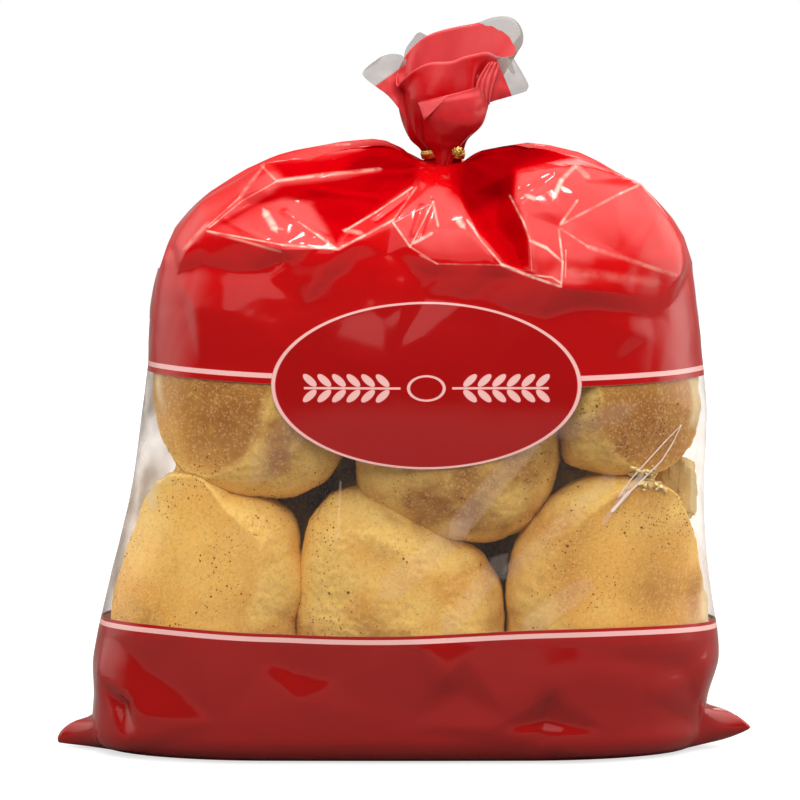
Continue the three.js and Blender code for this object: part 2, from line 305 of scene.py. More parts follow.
# Corners of the folds, as seen from the front, and how far out the film is pushed there. Between
# them it is flat.
FOLD_CORNERS = {
    # the outline against the sky
    "sky1": (-103, 225.3, -0.5), "sky2": (-90, 242, 3.2), "sky3": (-75, 252.3, 2.2),
    "sky4": (-50, 263.6, 1.1), "sky5": (-36, 266, -2.6), "sky6": (-20, 268.7, -2.4),
    "sky7": (58, 267.2, -0.6), "sky8": (88, 259.3, 3.2), "sky9": (98, 255.4, 6),
    "sky10": (113, 240.4, 3.6), "sky11": (122, 227.5, 1), "sky12": (126.5, 217, -1),
    # ridge from the left shoulder to the neck, with the lobe behind it
    "shoulder": (-62, 260, 5.3), "ridge1": (-55, 250.4, 3.2), "ridge2": (-23, 254.6, 2.2),
    "ridge3": (6, 256.5, 1.5), "lobe1": (-42, 258, -1), "lobe2": (-14, 262, -1),
    # the furrow under the ridge and the facet that faces up
    "furrow1": (-68, 240, 0.5), "furrow2": (-46, 242, -0.6), "furrow3": (-30, 244, -0.8),
    "furrow4": (-8, 246, -1), "valley1": (-33, 233, -1.2), "valley2": (-14, 238, -1.5),
    # the swag's lower line
    "swag1": (-86.5, 229, 5.5), "swag2": (-68, 223, 5.5), "swag3": (-52.8, 220, 6),
    "swag4": (-28.5, 220.5, 6.5), "swag5": (-4.8, 232.4, 5), "swag6": (7.8, 245, 3),
    "inner1": (-24, 227.5, 1), "inner2": (0, 246, 0.5), "under1": (-72, 218.5, 2.5),
    "under2": (-50, 215, 2.5), "under3": (-22, 215, 2), "under4": (-7, 218, 2.2), "under5": (2, 213, 2.4),
    # left side
    "edge1": (-71.4, 244.2, 4.5), "edge2": (-96.6, 219, 4), "left1": (-100, 208.8, 0.5),
    "left2": (-89, 213.9, 0), "left3": (-75.6, 210.5, -0.3), "left4": (-64.6, 211, -0.3),
    "left5": (-53.7, 214.7, 0), "left6": (-66, 200, 0.8), "left7": (-76, 193, 1.6),
    "left8": (-93, 195, 2.2),
    # the tongue below the neck and the diamond on it
    "tongue1": (2.7, 221.4, 6), "tongue2": (12.8, 241.6, 4.5), "tongue3": (14.5, 229, 6.5),
    "tongue4": (13.8, 213.9, 5.5), "tongue5": (22.2, 247.5, 3), "tongue6": (28.1, 234.9, 6.5),
    "tongue7": (33.1, 225.7, 6.8), "tongue8": (43.3, 213, 6.5), "root": (12, 252, 1),
    "below1": (14, 208, 2), "below2": (40, 207, 2),
    # the deep valley right of it
    "deep1": (29, 246, -5), "deep2": (42, 243, -6), "deep3": (40, 230, -6), "deep4": (48, 222, -5),
    "deep5": (51, 212.5, -1),
    # the right-hand facets
    "wall1": (47.4, 244.2, 3.5), "wall2": (54.2, 227.3, 4.6), "wall3": (55, 210.5, 6),
    "wall4": (48.3, 253.4, 2.5), "flag1": (69.3, 215.6, 3), "hang": (68.5, 203.5, 7),
    "cone": (67.7, 229.9, 1.2), "streak": (77, 243.5, 3), "apex": (76, 257.7, 5),
    "right1": (102.2, 250, 5), "right2": (120.7, 208.4, 4.5), "right3": (89.6, 201.2, 5),
    "right5": (111.4, 198.7, 2), "right6": (116.5, 195.4, 1.5), "right7": (108, 190, 0),
    "right8": (99, 184, 1.2), "right9": (117, 188, 1), "right10": (110, 181, 0),
    "right12": (78, 195, 1.2), "right13": (98, 193, 1), "rim1": (74, 263.8, 0.8), "rim2": (105, 250, 5.5),
    # soft folds that fade into the label
    "soft1": (-1, 200, 1.4), "soft2": (-6, 172, 0.4), "soft3": (-14, 200, -0.8), "soft4": (10, 200, -0.8),
    "soft5": (27, 198, 0.4), "soft6": (60, 190, 0.4), "soft7": (-44, 196, 0.4), "soft8": (44, 194, -0.4),
    # the flat panel and the window
    "flat1": (-90, 170, 0), "flat2": (-40, 172, 0), "flat3": (40, 172, 0), "flat4": (90, 168, 0),
    "flat5": (0, 150, 0), "flat6": (-100, 100, 0), "flat7": (-50, 100, 0), "flat8": (0, 100, 0),
    "flat9": (50, 100, 0), "flat10": (100, 100, 0),
    # the bottom band
    "band1": (-132, 50, 0), "band2": (-136, 33, 3), "band3": (-122, 4, 3), "band4": (-110, 33, -1.5),
    "band5": (-112, 15, 2.5), "band6": (-122, 22, -2), "band7": (-72, 41, 0), "band8": (-52, 35, -1.8),
    "band9": (-28, 30, 0), "band10": (-45, 22, 1), "band11": (33, 47, 0), "band12": (20, 34, 2),
    "band13": (10, 24, 0), "band14": (25, 25, -1), "band15": (82, 43, 0), "band16": (64, 24, 2),
    "band17": (39, 9, 2), "band18": (60, 12, -1.5), "band19": (121, 36, -2), "band20": (131, 25, 2),
    "band21": (122, 14, -1), "band22": (104, 26, 0.5), "band23": (-80, 12, 0.8), "band24": (0, 10, 0.5),
    "band25": (92, 8, 0.8), "band26": (134, 46, 0), "band27": (-95, 50, 0), "band28": (0, 50, 0),
    "band29": (60, 50, 0),
}
# Lines that the film creases along.
FOLD_LINES = [
    "shoulder ridge1 ridge2 ridge3",
    "shoulder edge1 swag1 edge2 left1 left2 left3 left4 left5 left6 left7",
    "swag1 furrow1 furrow2 valley1 swag4",
    "furrow2 furrow3 furrow4",
    "swag1 swag2 swag3 swag4 swag5 swag6",
    "swag4 inner1 inner2",
    "ridge1 edge1",
    "swag5 tongue1 tongue4 tongue8",
    "swag5 tongue2 tongue3 tongue1",
    "tongue5 tongue6 tongue7 tongue8 wall3 hang right3 right5 right6",
    "deep1 deep3 deep4 deep5",
    "wall4 wall1 wall2 wall3",
    "wall4 apex right1",
    "wall2 flag1 hang",
    "cone streak apex",
    "cone right1",
    "cone right2",
    "cone flag1",
    "apex rim2",
    "right2 right5",
    "right6 right7 right8",
    "right7 right9",
    "band2 band5 band3",
    "band7 band8 band9",
    "band11 band12 band13",
    "band15 band16 band17",
    "band19 band20 band21",
]

# Where the film lies folded, and where it goes in deep, as outlines seen from the front: there it is painted
# darker, as doubled film and painted shade, and darkest in the hollows, as painted shade.
DEEP_PARTS = [
    [(-84, 229.9), (-75.6, 235.8), (-64.6, 241.6), (-54.5, 248.8), (-36, 250.9), (-19.1, 253), (5.3, 254.3),
     (4.4, 248.4), (-11.6, 237.4), (-24.2, 228.2), (-30.1, 221.4), (-36.8, 233.2), (-41.9, 240.8),
     (-52.8, 242.5), (-64.6, 239.1), (-75.6, 232.4)],
    [(-59.6, 258.5), (-36, 260.2), (-17.5, 264.4), (-10.7, 270), (-3, 268), (8.6, 262), (6, 255.8),
     (-19, 255), (-38.5, 253), (-52.8, 250.9)],
    [(23.9, 247.5), (26.4, 262), (40.7, 268), (54.2, 269), (76.1, 260), (49.1, 255.5), (47.9, 244.2),
     (54.2, 225.7), (55, 210.5), (43.2, 213.9), (28.1, 235.8)],
    [(74.4, 262), (100.5, 254.3), (101.3, 252.2), (91.3, 254.3), (79.5, 259.3)],
]
HOLLOW_PARTS = [
    [(20, 245), (22, 257), (31, 262), (43, 264.5), (58, 266), (66, 262), (49, 256), (48, 244), (38, 240),
     (29, 236)],
    [(-14, 263), (5, 259), (6, 251), (-8, 252.5), (-26, 254.5), (-22, 260)],
]
DEEP_EDGE = 1.6  # to each side of a folded part's outline, over which it begins
HOLLOW_EDGE = 4
# The top's outline against the sky, as seen from the front: nothing of the film shows above it.
SKY_LINE = [
    (-130, 205), (-107.6, 212.2), (-104.2, 222.3), (-100.8, 229.9), (-94.9, 237.4), (-86.5, 245),
    (-74.7, 252.6), (-62, 260.2), (-47.8, 264), (-27.6, 267.7), (-14, 269), (-8.2, 268.2), (-2.3, 265.6),
    (6.1, 261.9), (17, 262), (27.2, 262), (34.8, 264), (43.2, 265.6), (54.2, 267.3), (64.3, 266.1),
    (78.6, 262.7), (91.2, 258.5), (100.5, 253.9), (108.1, 246), (116.5, 236.8), (123.2, 225.8),
    (127, 214), (140, 205),
]

# Fine straight creases, as seen from the front: from, to, height and half width.
FRONT_CREASES = [
    ((8, 236), (4, 224), 1.0, 1.6),
    ((11.5, 239), (7, 224), -0.8, 1.6),
    ((-78, 232), (-60, 222), 0.6, 2.0),
    ((-52, 236), (-33, 223), 0.8, 2.4),
    ((-41, 245.8), (-12, 243), 0.8, 2.0),
    ((-12, 232), (2, 243), -1.0, 2.0),
    ((50, 240), (66, 250), -0.7, 3.0),
    ((80, 249), (94, 248), -0.8, 3.0),
    ((60, 4), (64, 20), -2.2, 8),
]


def fold_net(points, low, high, lines=()):
    """push(across, up): the flat facets between points, over a rectangle from low to high, with an
    edge along each of the lines, which are pairs of points' numbers."""
    points = points + [(x, z, 0.0) for x in (low[0], high[0]) for z in (low[1], high[1])]
    corners = [Vector((x, z)) for x, z, _ in points]
    pushes = [push for _, _, push in points]
    verts, _, faces, origin, _, _ = delaunay_2d_cdt(corners, list(lines), [], 0, 1e-4)
    net = [Vector((v.x, v.y, pushes[o[0]] if o else 0.0)) for v, o in zip(verts, origin)]
    tree = BVHTree.FromPolygons(net, faces)

    def push(x, z):
        hit = tree.ray_cast(Vector((x, z, NET_ABOVE)), Vector((0, 0, -1)))[0]
        return hit.z if hit else 0.0

    return push


def within(x, z, outline, edge):
    """1 inside an outline, 0 outside it, and between them at its edge."""
    inside = False
    nearest = math.inf
    for (x0, z0), (x1, z1) in zip(outline, outline[1:] + outline[:1]):
        if (z0 > z) != (z1 > z) and x < x0 + (x1 - x0) * (z - z0) / (z1 - z0):
            inside = not inside
        run_x, run_z = x1 - x0, z1 - z0
        t = clamp01(((x - x0) * run_x + (z - z0) * run_z) / (run_x ** 2 + run_z ** 2))
        nearest = min(nearest, math.hypot(x - x0 - run_x * t, z - z0 - run_z * t))
    return smooth(-edge, edge, nearest if inside else -nearest)


def sky_height(x):
    """How high the film may be seen at a place across."""
    for (x0, z0), (x1, z1) in zip(SKY_LINE, SKY_LINE[1:]):
        if x <= x1:
            return mix(z0, z1, clamp01((x - x0) / (x1 - x0)))
    return SKY_LINE[-1][1]


def crease_push(x, z, creases):
    """What the fine creases add to the film's height."""
    total = 0.0
    for (x0, z0), (x1, z1), height, width in creases:
        dx, dz = x1 - x0, z1 - z0
        length = math.hypot(dx, dz)
        along = ((x - x0) * dx + (z - z0) * dz) / length
        across = abs((x - x0) * dz - (z - z0) * dx) / length
        end = min(along + width, length + width - along) / width
        if across < width and end > 0:
            total += height * (1 - across / width) * min(1.0, end)
    return total


def crumple_net(spacing, push, around, low, high, seed):
    """Small facets round the whole bag: out(s, z), with s running round it from 0 to around."""
    rng = random.Random(seed)
    points = []
    columns = round(around / spacing)
    z = low
    while z < high:
        for i in range(columns):
            s = (i + rng.uniform(-0.45, 0.45)) * around / columns
            point = (z + spacing * rng.uniform(-0.45, 0.45), rng.gauss(0, push))
            laps = (s + lap * around for lap in (-1, 0, 1))
            points += [(at, *point) for at in laps if -NET_LAP < at < around + NET_LAP]
        z += spacing
    edge = NET_LAP + 10
    return fold_net(points, (-edge, low - NET_MARGIN), (around + edge, high + NET_MARGIN))


NET_ABOVE = 100  # higher than any push
NET_LAP = 60  # how far a net round the bag runs on past its start
NET_MARGIN = 40
AROUND = 620  # nominal length round the bag
CREASE_REACH = 3.4  # the mesh is drawn closer to a crease from this far off
CREASE_PULL = 1.8
CREASE_ROUNDING = (2.4, 0.5)  # how far from a crease the film bends, and how much of the bend that is
CREASE_STEP = 9  # a crease is aimed afresh this often, so that it is seen straight
LINE_STEP = 1.5  # between the points by which the nearest crease is found
LEAST_LEVEL = 0.2  # film that faces the viewer less than this isn't drawn to a crease
SIDE_FRAME = ((-190, -30), (190, 340))  # well outside the bag, as seen
COARSE_NET = crumple_net(26, 0.38, AROUND, -10, 330, 3)
FINE_NET = crumple_net(9, 0.07, AROUND, -10, 330, 8)
CALM_SHARE = 0.3  # of the crumpling that is left where the film lies on the rolls
CALM_EASE = 25


class Side:
    """The front or the back of the film: where its folds are seen, and how they move a point."""

    def __init__(self, facing, spots):
        self.facing = facing  # 1 for the front and -1 for the back
        self.along = Vector((0, VIEW_ALONG.y * facing, VIEW_ALONG.z))
        self.up = Vector((0, VIEW_UP.y * facing, VIEW_UP.z))
        finder = kdtree.KDTree(len(spots))
        for i, (co, _) in enumerate(spots):
            finder.insert(Vector((*self.seen(co), 0)), i)
        finder.balance()
        corners = self.corners()
        names = list(FOLD_CORNERS)
        pairs = []
        for line in FOLD_LINES:
            for a, b in zip(line.split(), line.split()[1:]):
                start, end = corners[names.index(a)], corners[names.index(b)]
                count = max(1, round(math.dist(start[:2], end[:2]) / CREASE_STEP))
                chain = [names.index(a), *range(len(corners), len(corners) + count - 1), names.index(b)]
                corners += [tuple(Vector(start).lerp(end, k / count)) for k in range(1, count)]
                pairs += zip(chain, chain[1:])
        corners = [self.aimed(corner, finder, spots) for corner in corners]
        self.net = fold_net(corners, *SIDE_FRAME, pairs)
        self.creases = [
            ((x0 * facing, z0), (x1 * facing, z1), h, w) for (x0, z0), (x1, z1), h, w in FRONT_CREASES
        ]
        self.lines = []
        steps = []
        for a, b in pairs:
            start, end = Vector(corners[a][:2]), Vector(corners[b][:2])
            count = max(2, round((end - start).length / LINE_STEP))
            for k in range(count + 1):
                steps.append((start.lerp(end, k / count), len(self.lines)))
            self.lines.append((start, end))
        self.line_finder = kdtree.KDTree(len(steps))
        for spot, index in steps:
            self.line_finder.insert(Vector((*spot, 0)), index)
        self.line_finder.balance()

    def corners(self):
        """The fold corners of this side. At the back they are turned about and moved a little."""
        if self.facing > 0:
            return list(FOLD_CORNERS.values())
        return [
            (-x + 4 * math.sin(x), z + 3 * math.sin(2 * z + x), push * (1 + 0.3 * math.sin(x + z)))
            for x, z, push in FOLD_CORNERS.values()
        ]

    def seen(self, co):
        """Where a point shows from this side, across and up, in mm on the middle plane."""
        away = co - VIEW_CENTRE
        near = VIEW_DISTANCE / (VIEW_DISTANCE + away.dot(self.along))
        return VIEW_CENTRE.x + away.x * near, VIEW_CENTRE.z + away.dot(self.up) * near

    def aimed(self, corner, finder, spots):
        """Moves a corner so that it is seen at its own place once it is pushed out."""
        x, z, push = corner
        spot = Vector((x, z, 0))
        for _ in range(3):
            _, index, _ = finder.find(spot)
            normal = spots[index][1]
            spot = Vector((x - push * normal.x, z - push * normal.dot(self.up), 0))
        return spot.x, spot.y, push

    def drawn(self, co, normal):
        """The point slid along the film toward the nearest crease."""
        level = -normal.dot(self.along)
        if level < LEAST_LEVEL:
            return co
        spot = Vector(self.seen(co))
        _, index, _ = self.line_finder.find(Vector((*spot, 0)))
        start, end = self.lines[index]
        run = end - start
        t = clamp01((spot - start).dot(run) / run.length_squared)
        off = spot - (start + run * t)
        gap = off.length
        if gap > CREASE_REACH or gap < 1e-6:
            return co
        share = (gap / CREASE_REACH) ** (CREASE_PULL - 1) - 1
        move = off * share * smooth(LEAST_LEVEL, 2 * LEAST_LEVEL, level)
        slide = Vector((move.x, 0, 0)) + self.up * move.y
        return co + slide + self.along * (normal.dot(slide) / level)

    def push(self, co):
        """How far the folds push the film out at a point, rounded at the creases."""
        x, z = self.seen(co)
        reach, share = CREASE_ROUNDING
        around = sum(self.net(x + reach * math.cos(a), z + reach * math.sin(a)) for a in range(6)) / 6
        return mix(self.net(x, z), around, share) + crease_push(x, z, self.creases)


def crumple(co, turn):
    """Small unevenness that all the film has, less of it where it lies on the rolls."""
    facing = abs(math.sin(2 * math.pi * turn))
    calm = smooth(WINDOW_LOW - CALM_EASE, WINDOW_LOW, co.z) * (1 - smooth(WINDOW_HIGH, SHOULDER_Z, co.z))
    calm *= smooth(0.1, 0.6, facing)
    return (COARSE_NET(turn * AROUND, co.z) + FINE_NET(turn * AROUND, co.z)) * mix(1, CALM_SHARE, calm)


# ------------------------------------------------------------------ the film of the bag

FILM_COLUMNS = 480
SEAM_EASE = 13  # how far above and below its foot the dome is eased into the wall
SEAM_CLEAR = 25  # from the neck, within which nothing is eased
FRONT_SHARE = 0.25  # how much closer the columns stand at the front
# Stages of the film: name, rows and, on the wall, the height that the stage ends at.
FILM_STAGES = [
    ("base", 8, 0), ("wall", 38, WINDOW_LOW), ("wall", 46, WINDOW_HIGH), ("wall", 34, SHOULDER_Z),
    ("dome", 116, 0), ("neck", 6, 0), ("lid", 1, 0),
]
# Where the folds set in: above the base, away from the neck, and on the front or back, from its sides.
FOOT_FADE = (0, 6)
NECK_FADE = (9, 20)
FACE_FADE = (0.05, 0.3)
NECK_DEEP = (44, 12)  # from the neck, between which the gathers come to lie deep, painted darker as doubled film in painted shade
NECK_DEEPEST = 0.75
BACK_VALLEY = (0.5, -2.5)  # pushes between which the back's film comes to lie deep, painted darker as painted shade in its valleys
# How far the clear piece of film reaches past the printed edges, where it is printed too.
TOP_MARGIN = 4
LABEL_MARGIN = 1.5
BAND_MARGIN = 3.5


def column_turn(column):
    """The turn round the bag at which a column of the mesh stands."""
    u = column % FILM_COLUMNS / FILM_COLUMNS
    return u - FRONT_SHARE / (2 * math.pi) * (math.cos(2 * math.pi * u) - 1)


def film_point(turn, row):
    """The film before it is folded: the row counts from the middle of the base to the neck's lid."""
    low = 0
    for name, steps, high in FILM_STAGES:
        if row <= steps:
            break
        row -= steps
        low = high
    t = row / steps
    if name == "base":
        rim = wall_point(turn, 0)
        return Vector((rim.x * t, rim.y * t, 0))
    if name == "wall":
        return wall_point(turn, mix(low, high, t * t if low == 0 else t))
    if name == "dome":
        return dome_point(turn, t)
    if name == "neck":
        return neck_point(turn, t)
    return neck_point(turn, 1).lerp(Vector((NECK.x, NECK.y, NECK.z + NECK_LENGTH)), t)


def side_point(turn, z):
    """The film's side at a height: the wall, or the dome above its foot."""
    if z <= SHOULDER_Z:
        return wall_point(turn, z)
    facing = math.sin(2 * math.pi * turn) ** 2
    up = (z - SHOULDER_Z) / mix(SIDE_RISE, FACE_RISE, facing)
    t = math.asin(min(1.0, up ** (mix(SIDE_ROUNDNESS, FACE_ROUNDNESS, facing) / 2))) * 2 / math.pi
    return dome_point(turn, t)


def eased_point(turn, row):
    """film_point, with the change in slope between the wall and the dome rounded off."""
    point = film_point(turn, row)
    ease = smooth(SEAM_EASE, SEAM_EASE * 0.3, abs(point.z - SHOULDER_Z))
    if not ease or math.hypot(point.x - NECK.x, point.y) < SEAM_CLEAR:
        return point
    near = [side_point(turn, point.z + SEAM_EASE * k / 8) for k in range(-8, 9)]
    mean = sum(near, Vector()) / len(near)
    return point.lerp(Vector((mean.x, mean.y, point.z)), ease)


def in_label(co, margin):
    """Whether a point is on the label, and this far from its edge."""
    across = (co.x - LABEL.x) / (LABEL_HALF[0] - margin)
    up = (co.z - LABEL.z) / (LABEL_HALF[1] - margin)
    return co.y < 0 and across ** 2 + up ** 2 < 1


def print_zone(face):
    """Which piece of film a face belongs to: the printed top, the window or the printed band."""
    if all(v.co.z > WINDOW_HIGH + TOP_MARGIN or in_label(v.co, LABEL_MARGIN) for v in face.verts):
        return "film_top"
    if all(v.co.z < WINDOW_LOW - BAND_MARGIN for v in face.verts):
        return "film_band"
    return "film_window"


def shape_film():
    """The whole film in one mesh, folded and crumpled."""
    rows = sum(steps for _, steps, _ in FILM_STAGES)
    bm = bmesh.new()
    bmesh.ops.create_grid(bm, x_segments=FILM_COLUMNS, y_segments=rows, size=0.5)
    round_way = bm.verts.layers.float.new("turn")
    fold_shade = bm.verts.layers.float.new("fold_shade")
    for vert in bm.verts:
        turn = column_turn(round((vert.co.x + 0.5) * FILM_COLUMNS)) % 1
        vert.co = eased_point(turn, round((vert.co.y + 0.5) * rows))
        vert[round_way] = turn
    bmesh.ops.remove_doubles(bm, verts=bm.verts[:], dist=1e-4)
    bmesh.ops.recalc_face_normals(bm, faces=bm.faces[:])
    bm.normal_update()
    spots = [(v.co.copy(), v.normal.copy(), v[round_way]) for v in bm.verts]
    sides = []
    for facing in (1, -1):
        shown = [(co, normal) for co, normal, _ in spots if co.y * facing < -1 and normal.y * facing < -0.05]
        sides.append(Side(facing, shown))
    for vert, (co, normal, turn) in zip(bm.verts, spots):
        fade = smooth(*FOOT_FADE, co.z) * smooth(*NECK_FADE, math.hypot(co.x - NECK.x, co.y))
        facing = -math.sin(2 * math.pi * turn)  # 1 at the middle of the front, -1 at the back
        side = sides[0] if facing > 0 else sides[1]
        strength = smooth(*FACE_FADE, abs(facing)) * fade
        if strength > 0.5:
            co = side.drawn(co, normal)
        push = side.push(co) * strength
        vert.co = co + normal * (push + crumple(co, turn) * fade)
        # painted shade: the film is marked darker where it gathers at the neck, where it lies folded at the
        # front, and in the back's valleys
        fold_shade_amount = smooth(*NECK_DEEP, (co - NECK).length) * NECK_DEEPEST
        if facing > 0 and co.z > SHOULDER_Z - 5:
            x, z = side.seen(vert.co)
            fold_shade_amount = max(fold_shade_amount, *(within(x, z, part, DEEP_EDGE) for part in DEEP_PARTS))
            fold_shade_amount += max(within(x, z, part, HOLLOW_EDGE) for part in HOLLOW_PARTS)
        elif co.z > SHOULDER_Z:
            fold_shade_amount = max(fold_shade_amount, smooth(*BACK_VALLEY, push))
        vert[fold_shade] = fold_shade_amount
        if co.z > SHOULDER_Z:
            x, z = sides[0].seen(vert.co)
            vert.co.z -= max(0, z - sky_height(x))
        vert.co.z = max(vert.co.z, 0)
    bm.verts.layers.float.remove(round_way)
    bm.normal_update()
    return bm


def make_film(whole, name, material):
    """One printed zone of the film, shaded as a part of the whole."""
    bm = whole.copy()
    spare = [face for face in bm.faces if print_zone(face) != name]
    bmesh.ops.delete(bm, geom=spare, context="FACES")
    normals = [v.normal.copy() for v in bm.verts]
    piece = new_piece(name, bm, material, keep_normals=True)
    piece.data.normals_split_custom_set_from_vertices(normals)
    return piece


def inside_film(spot, film_tree):
    """The nearest place inside the film, and how far spot stood past it."""
    middle, half_width, _ = wall_at(round(min(max(spot.z, 0), SHOULDER_Z), 1))
    flat = half_width * (1 - CAP_SHARE)
    start = Vector((min(max(spot.x, middle - flat), middle + flat), 0, min(spot.z, SHOULDER_Z)))
    reach = (spot - start).length
    if reach < 1:
        return spot, 0.0
    way = (spot - start) / reach
    distance = film_tree.ray_cast(start, way)[3]
    if distance is None or reach < distance - FILM_GAP:
        return spot, 0.0
    return start + way * (distance - FILM_GAP), reach - distance + FILM_GAP


# ------------------------------------------------------------------ the rolls

# Front rolls as seen from the front, with the parts that the print hides: name, outline.
FRONT_ROLLS = {
    "bottom_left": [
        (-45, 60), (-46, 90), (-49, 106), (-58, 113), (-74, 118), (-88, 126), (-101, 123), (-112, 114),
        (-119, 101), (-126, 84), (-130, 62), (-129, 44), (-119, 27), (-88, 22), (-55, 25), (-46, 40),
    ],
    "bottom_middle": [
        (44, 72), (37, 87), (23, 97), (7, 107), (-10, 115.5), (-23, 119), (-33, 116), (-41, 107),
        (-44.5, 92), (-45, 72), (-44.5, 46), (-38, 28), (-2, 22), (36, 27), (43, 42), (44.5, 58),
    ],
    "bottom_right": [
        (135, 62), (130, 83), (125, 104), (117, 117), (104, 124), (86, 125), (71, 121), (60, 112),
        (51, 99), (46.5, 84), (45.5, 64), (46, 44), (52, 27), (90, 22), (128, 27), (135, 44),
    ],
    "top_left": [
        (-23, 158), (-26, 134), (-33, 121), (-46, 114.5), (-63, 114), (-80, 117.5), (-94, 125), (-102, 136),
        (-108, 150), (-111, 165), (-110, 184), (-100, 200), (-68, 206), (-35, 200), (-24, 182),
    ],
    "top_middle": [
        (67, 140), (64, 117), (56, 103), (42, 95.5), (25, 95), (7, 99), (-11, 106), (-20, 114.5),
        (-22.5, 128), (-22, 160), (-15, 183), (20, 193), (56, 184), (66, 162),
    ],
    "top_right": [
        (130, 160), (129, 148), (125, 136), (114, 127), (99, 124), (82, 124.5), (70, 129), (66.5, 141),
        (67, 163), (72, 192), (88, 203), (114, 200), (127, 184),
    ],
}
ROLL_DEPTH = 27  # half of a roll's thickness from crust to bottom
ROLL_FULLNESS = 2.7  # 2 rounds a roll's edge like a ball, more makes it squarer
HIND_SIZE = 1.08  # the back rolls against the front ones
HIND_SHIFT = ((4, 14), (-4, 3))  # of the lower and of the upper back rolls, across and up
HIND_CLOSER = 0.1  # how much closer to the bag's middle they are
BAG_MIDDLE = 4  # across, at the height of the rolls
# Paler and, below 0, darker patches of crust at the front: middle and reach across and up, strength.
# The darker ones are tan crust, and painted shade where they lie broad over the upper rolls.
PATCHES = [
    (-108, 108, 9, 14, 0.9), (-118, 92, 8, 12, 0.8), (-96, 124, 10, 6, 0.7), (-60, 104, 14, 14, 0.5),
    (-88, 85, 20, 24, 0.55), (-39, 92, 8, 20, 0.9), (-30, 112, 10, 7, 0.6), (-38, 66, 9, 12, 0.6),
    (118, 108, 7, 9, 0.8), (127, 92, 5, 12, 0.7), (100, 104, 14, 9, 0.6), (60, 92, 9, 14, 0.4),
    (-101, 138, 6, 12, 0.7), (-55, 118, 18, 4, 0.5), (77, 132, 7, 5, 0.5), (86, 67, 6, 5, 0.5),
    (-76, 152, 30, 22, -0.9), (-50, 128, 20, 12, -0.7), (-112, 62, 10, 10, -0.5), (88, 137, 12, 6, -0.4),
    (106, 76, 14, 12, -0.35), (127, 68, 4, 14, -0.5), (38, 76, 5, 16, -0.5), (20, 114, 44, 20, -1.3),
    (100, 150, 30, 18, -0.8),
]
FILM_GAP = 0.9  # from the film to a roll that presses on it
ROLL_CUTS = 60
ROLL_SEED = 21
ROLL_LAYERS = ("torn", "pressed", "side_on", "pale")  # what the crust's material reads off a roll
LUMPS = ((0.025, 2.4), (0.07, 0.8))  # a roll's unevenness: waves to a millimetre, and their height
CRUST_RISE = 0.5  # height of the crumb coat's lumps
TEAR_RISE = 2.0  # height of the torn sides' lumps
OUTER_ROLL = 40  # a roll whose middle is further from the bag's than this is an outer one
GOLDEN_SIDE = (20, -8)  # on its outer side no baked brown side and no painted shade show, between these places across
PRESSED_OVER = 1.5  # a roll that stands this far past the film lies flat on it


def outline_reach(outline):
    """reach(angle): how far an outline is from its middle, and that middle."""
    middle = sum((Vector(corner) for corner in outline), Vector((0, 0))) / len(outline)
    polar = sorted((math.atan2(z - middle.y, x - middle.x), math.dist((x, z), middle)) for x, z in outline)
    polar = [(polar[-1][0] - 2 * math.pi, polar[-1][1]), *polar, (polar[0][0] + 2 * math.pi, polar[0][1])]

    def reach(angle):
        for (a, r), (b, q) in zip(polar, polar[1:]):
            if angle <= b:
                return mix(r, q, smooth(a, b, angle) * 0.5 + clamp01((angle - a) / (b - a)) * 0.5)
        return polar[-1][1]

    return reach, middle


def roll_point(direction, reach):
    """The point of a roll in a direction from its middle, and the way its surface faces."""
    flat = math.hypot(direction.x, direction.z)
    wide = reach(math.atan2(direction.z, direction.x))
    full = (flat / wide) ** ROLL_FULLNESS + abs(direction.y / ROLL_DEPTH) ** ROLL_FULLNESS
    point = direction * full ** (-1 / ROLL_FULLNESS)
    normal = Vector((point.x / wide ** 2, point.y / ROLL_DEPTH ** 2, point.z / wide ** 2)).normalized()
    return point, normal


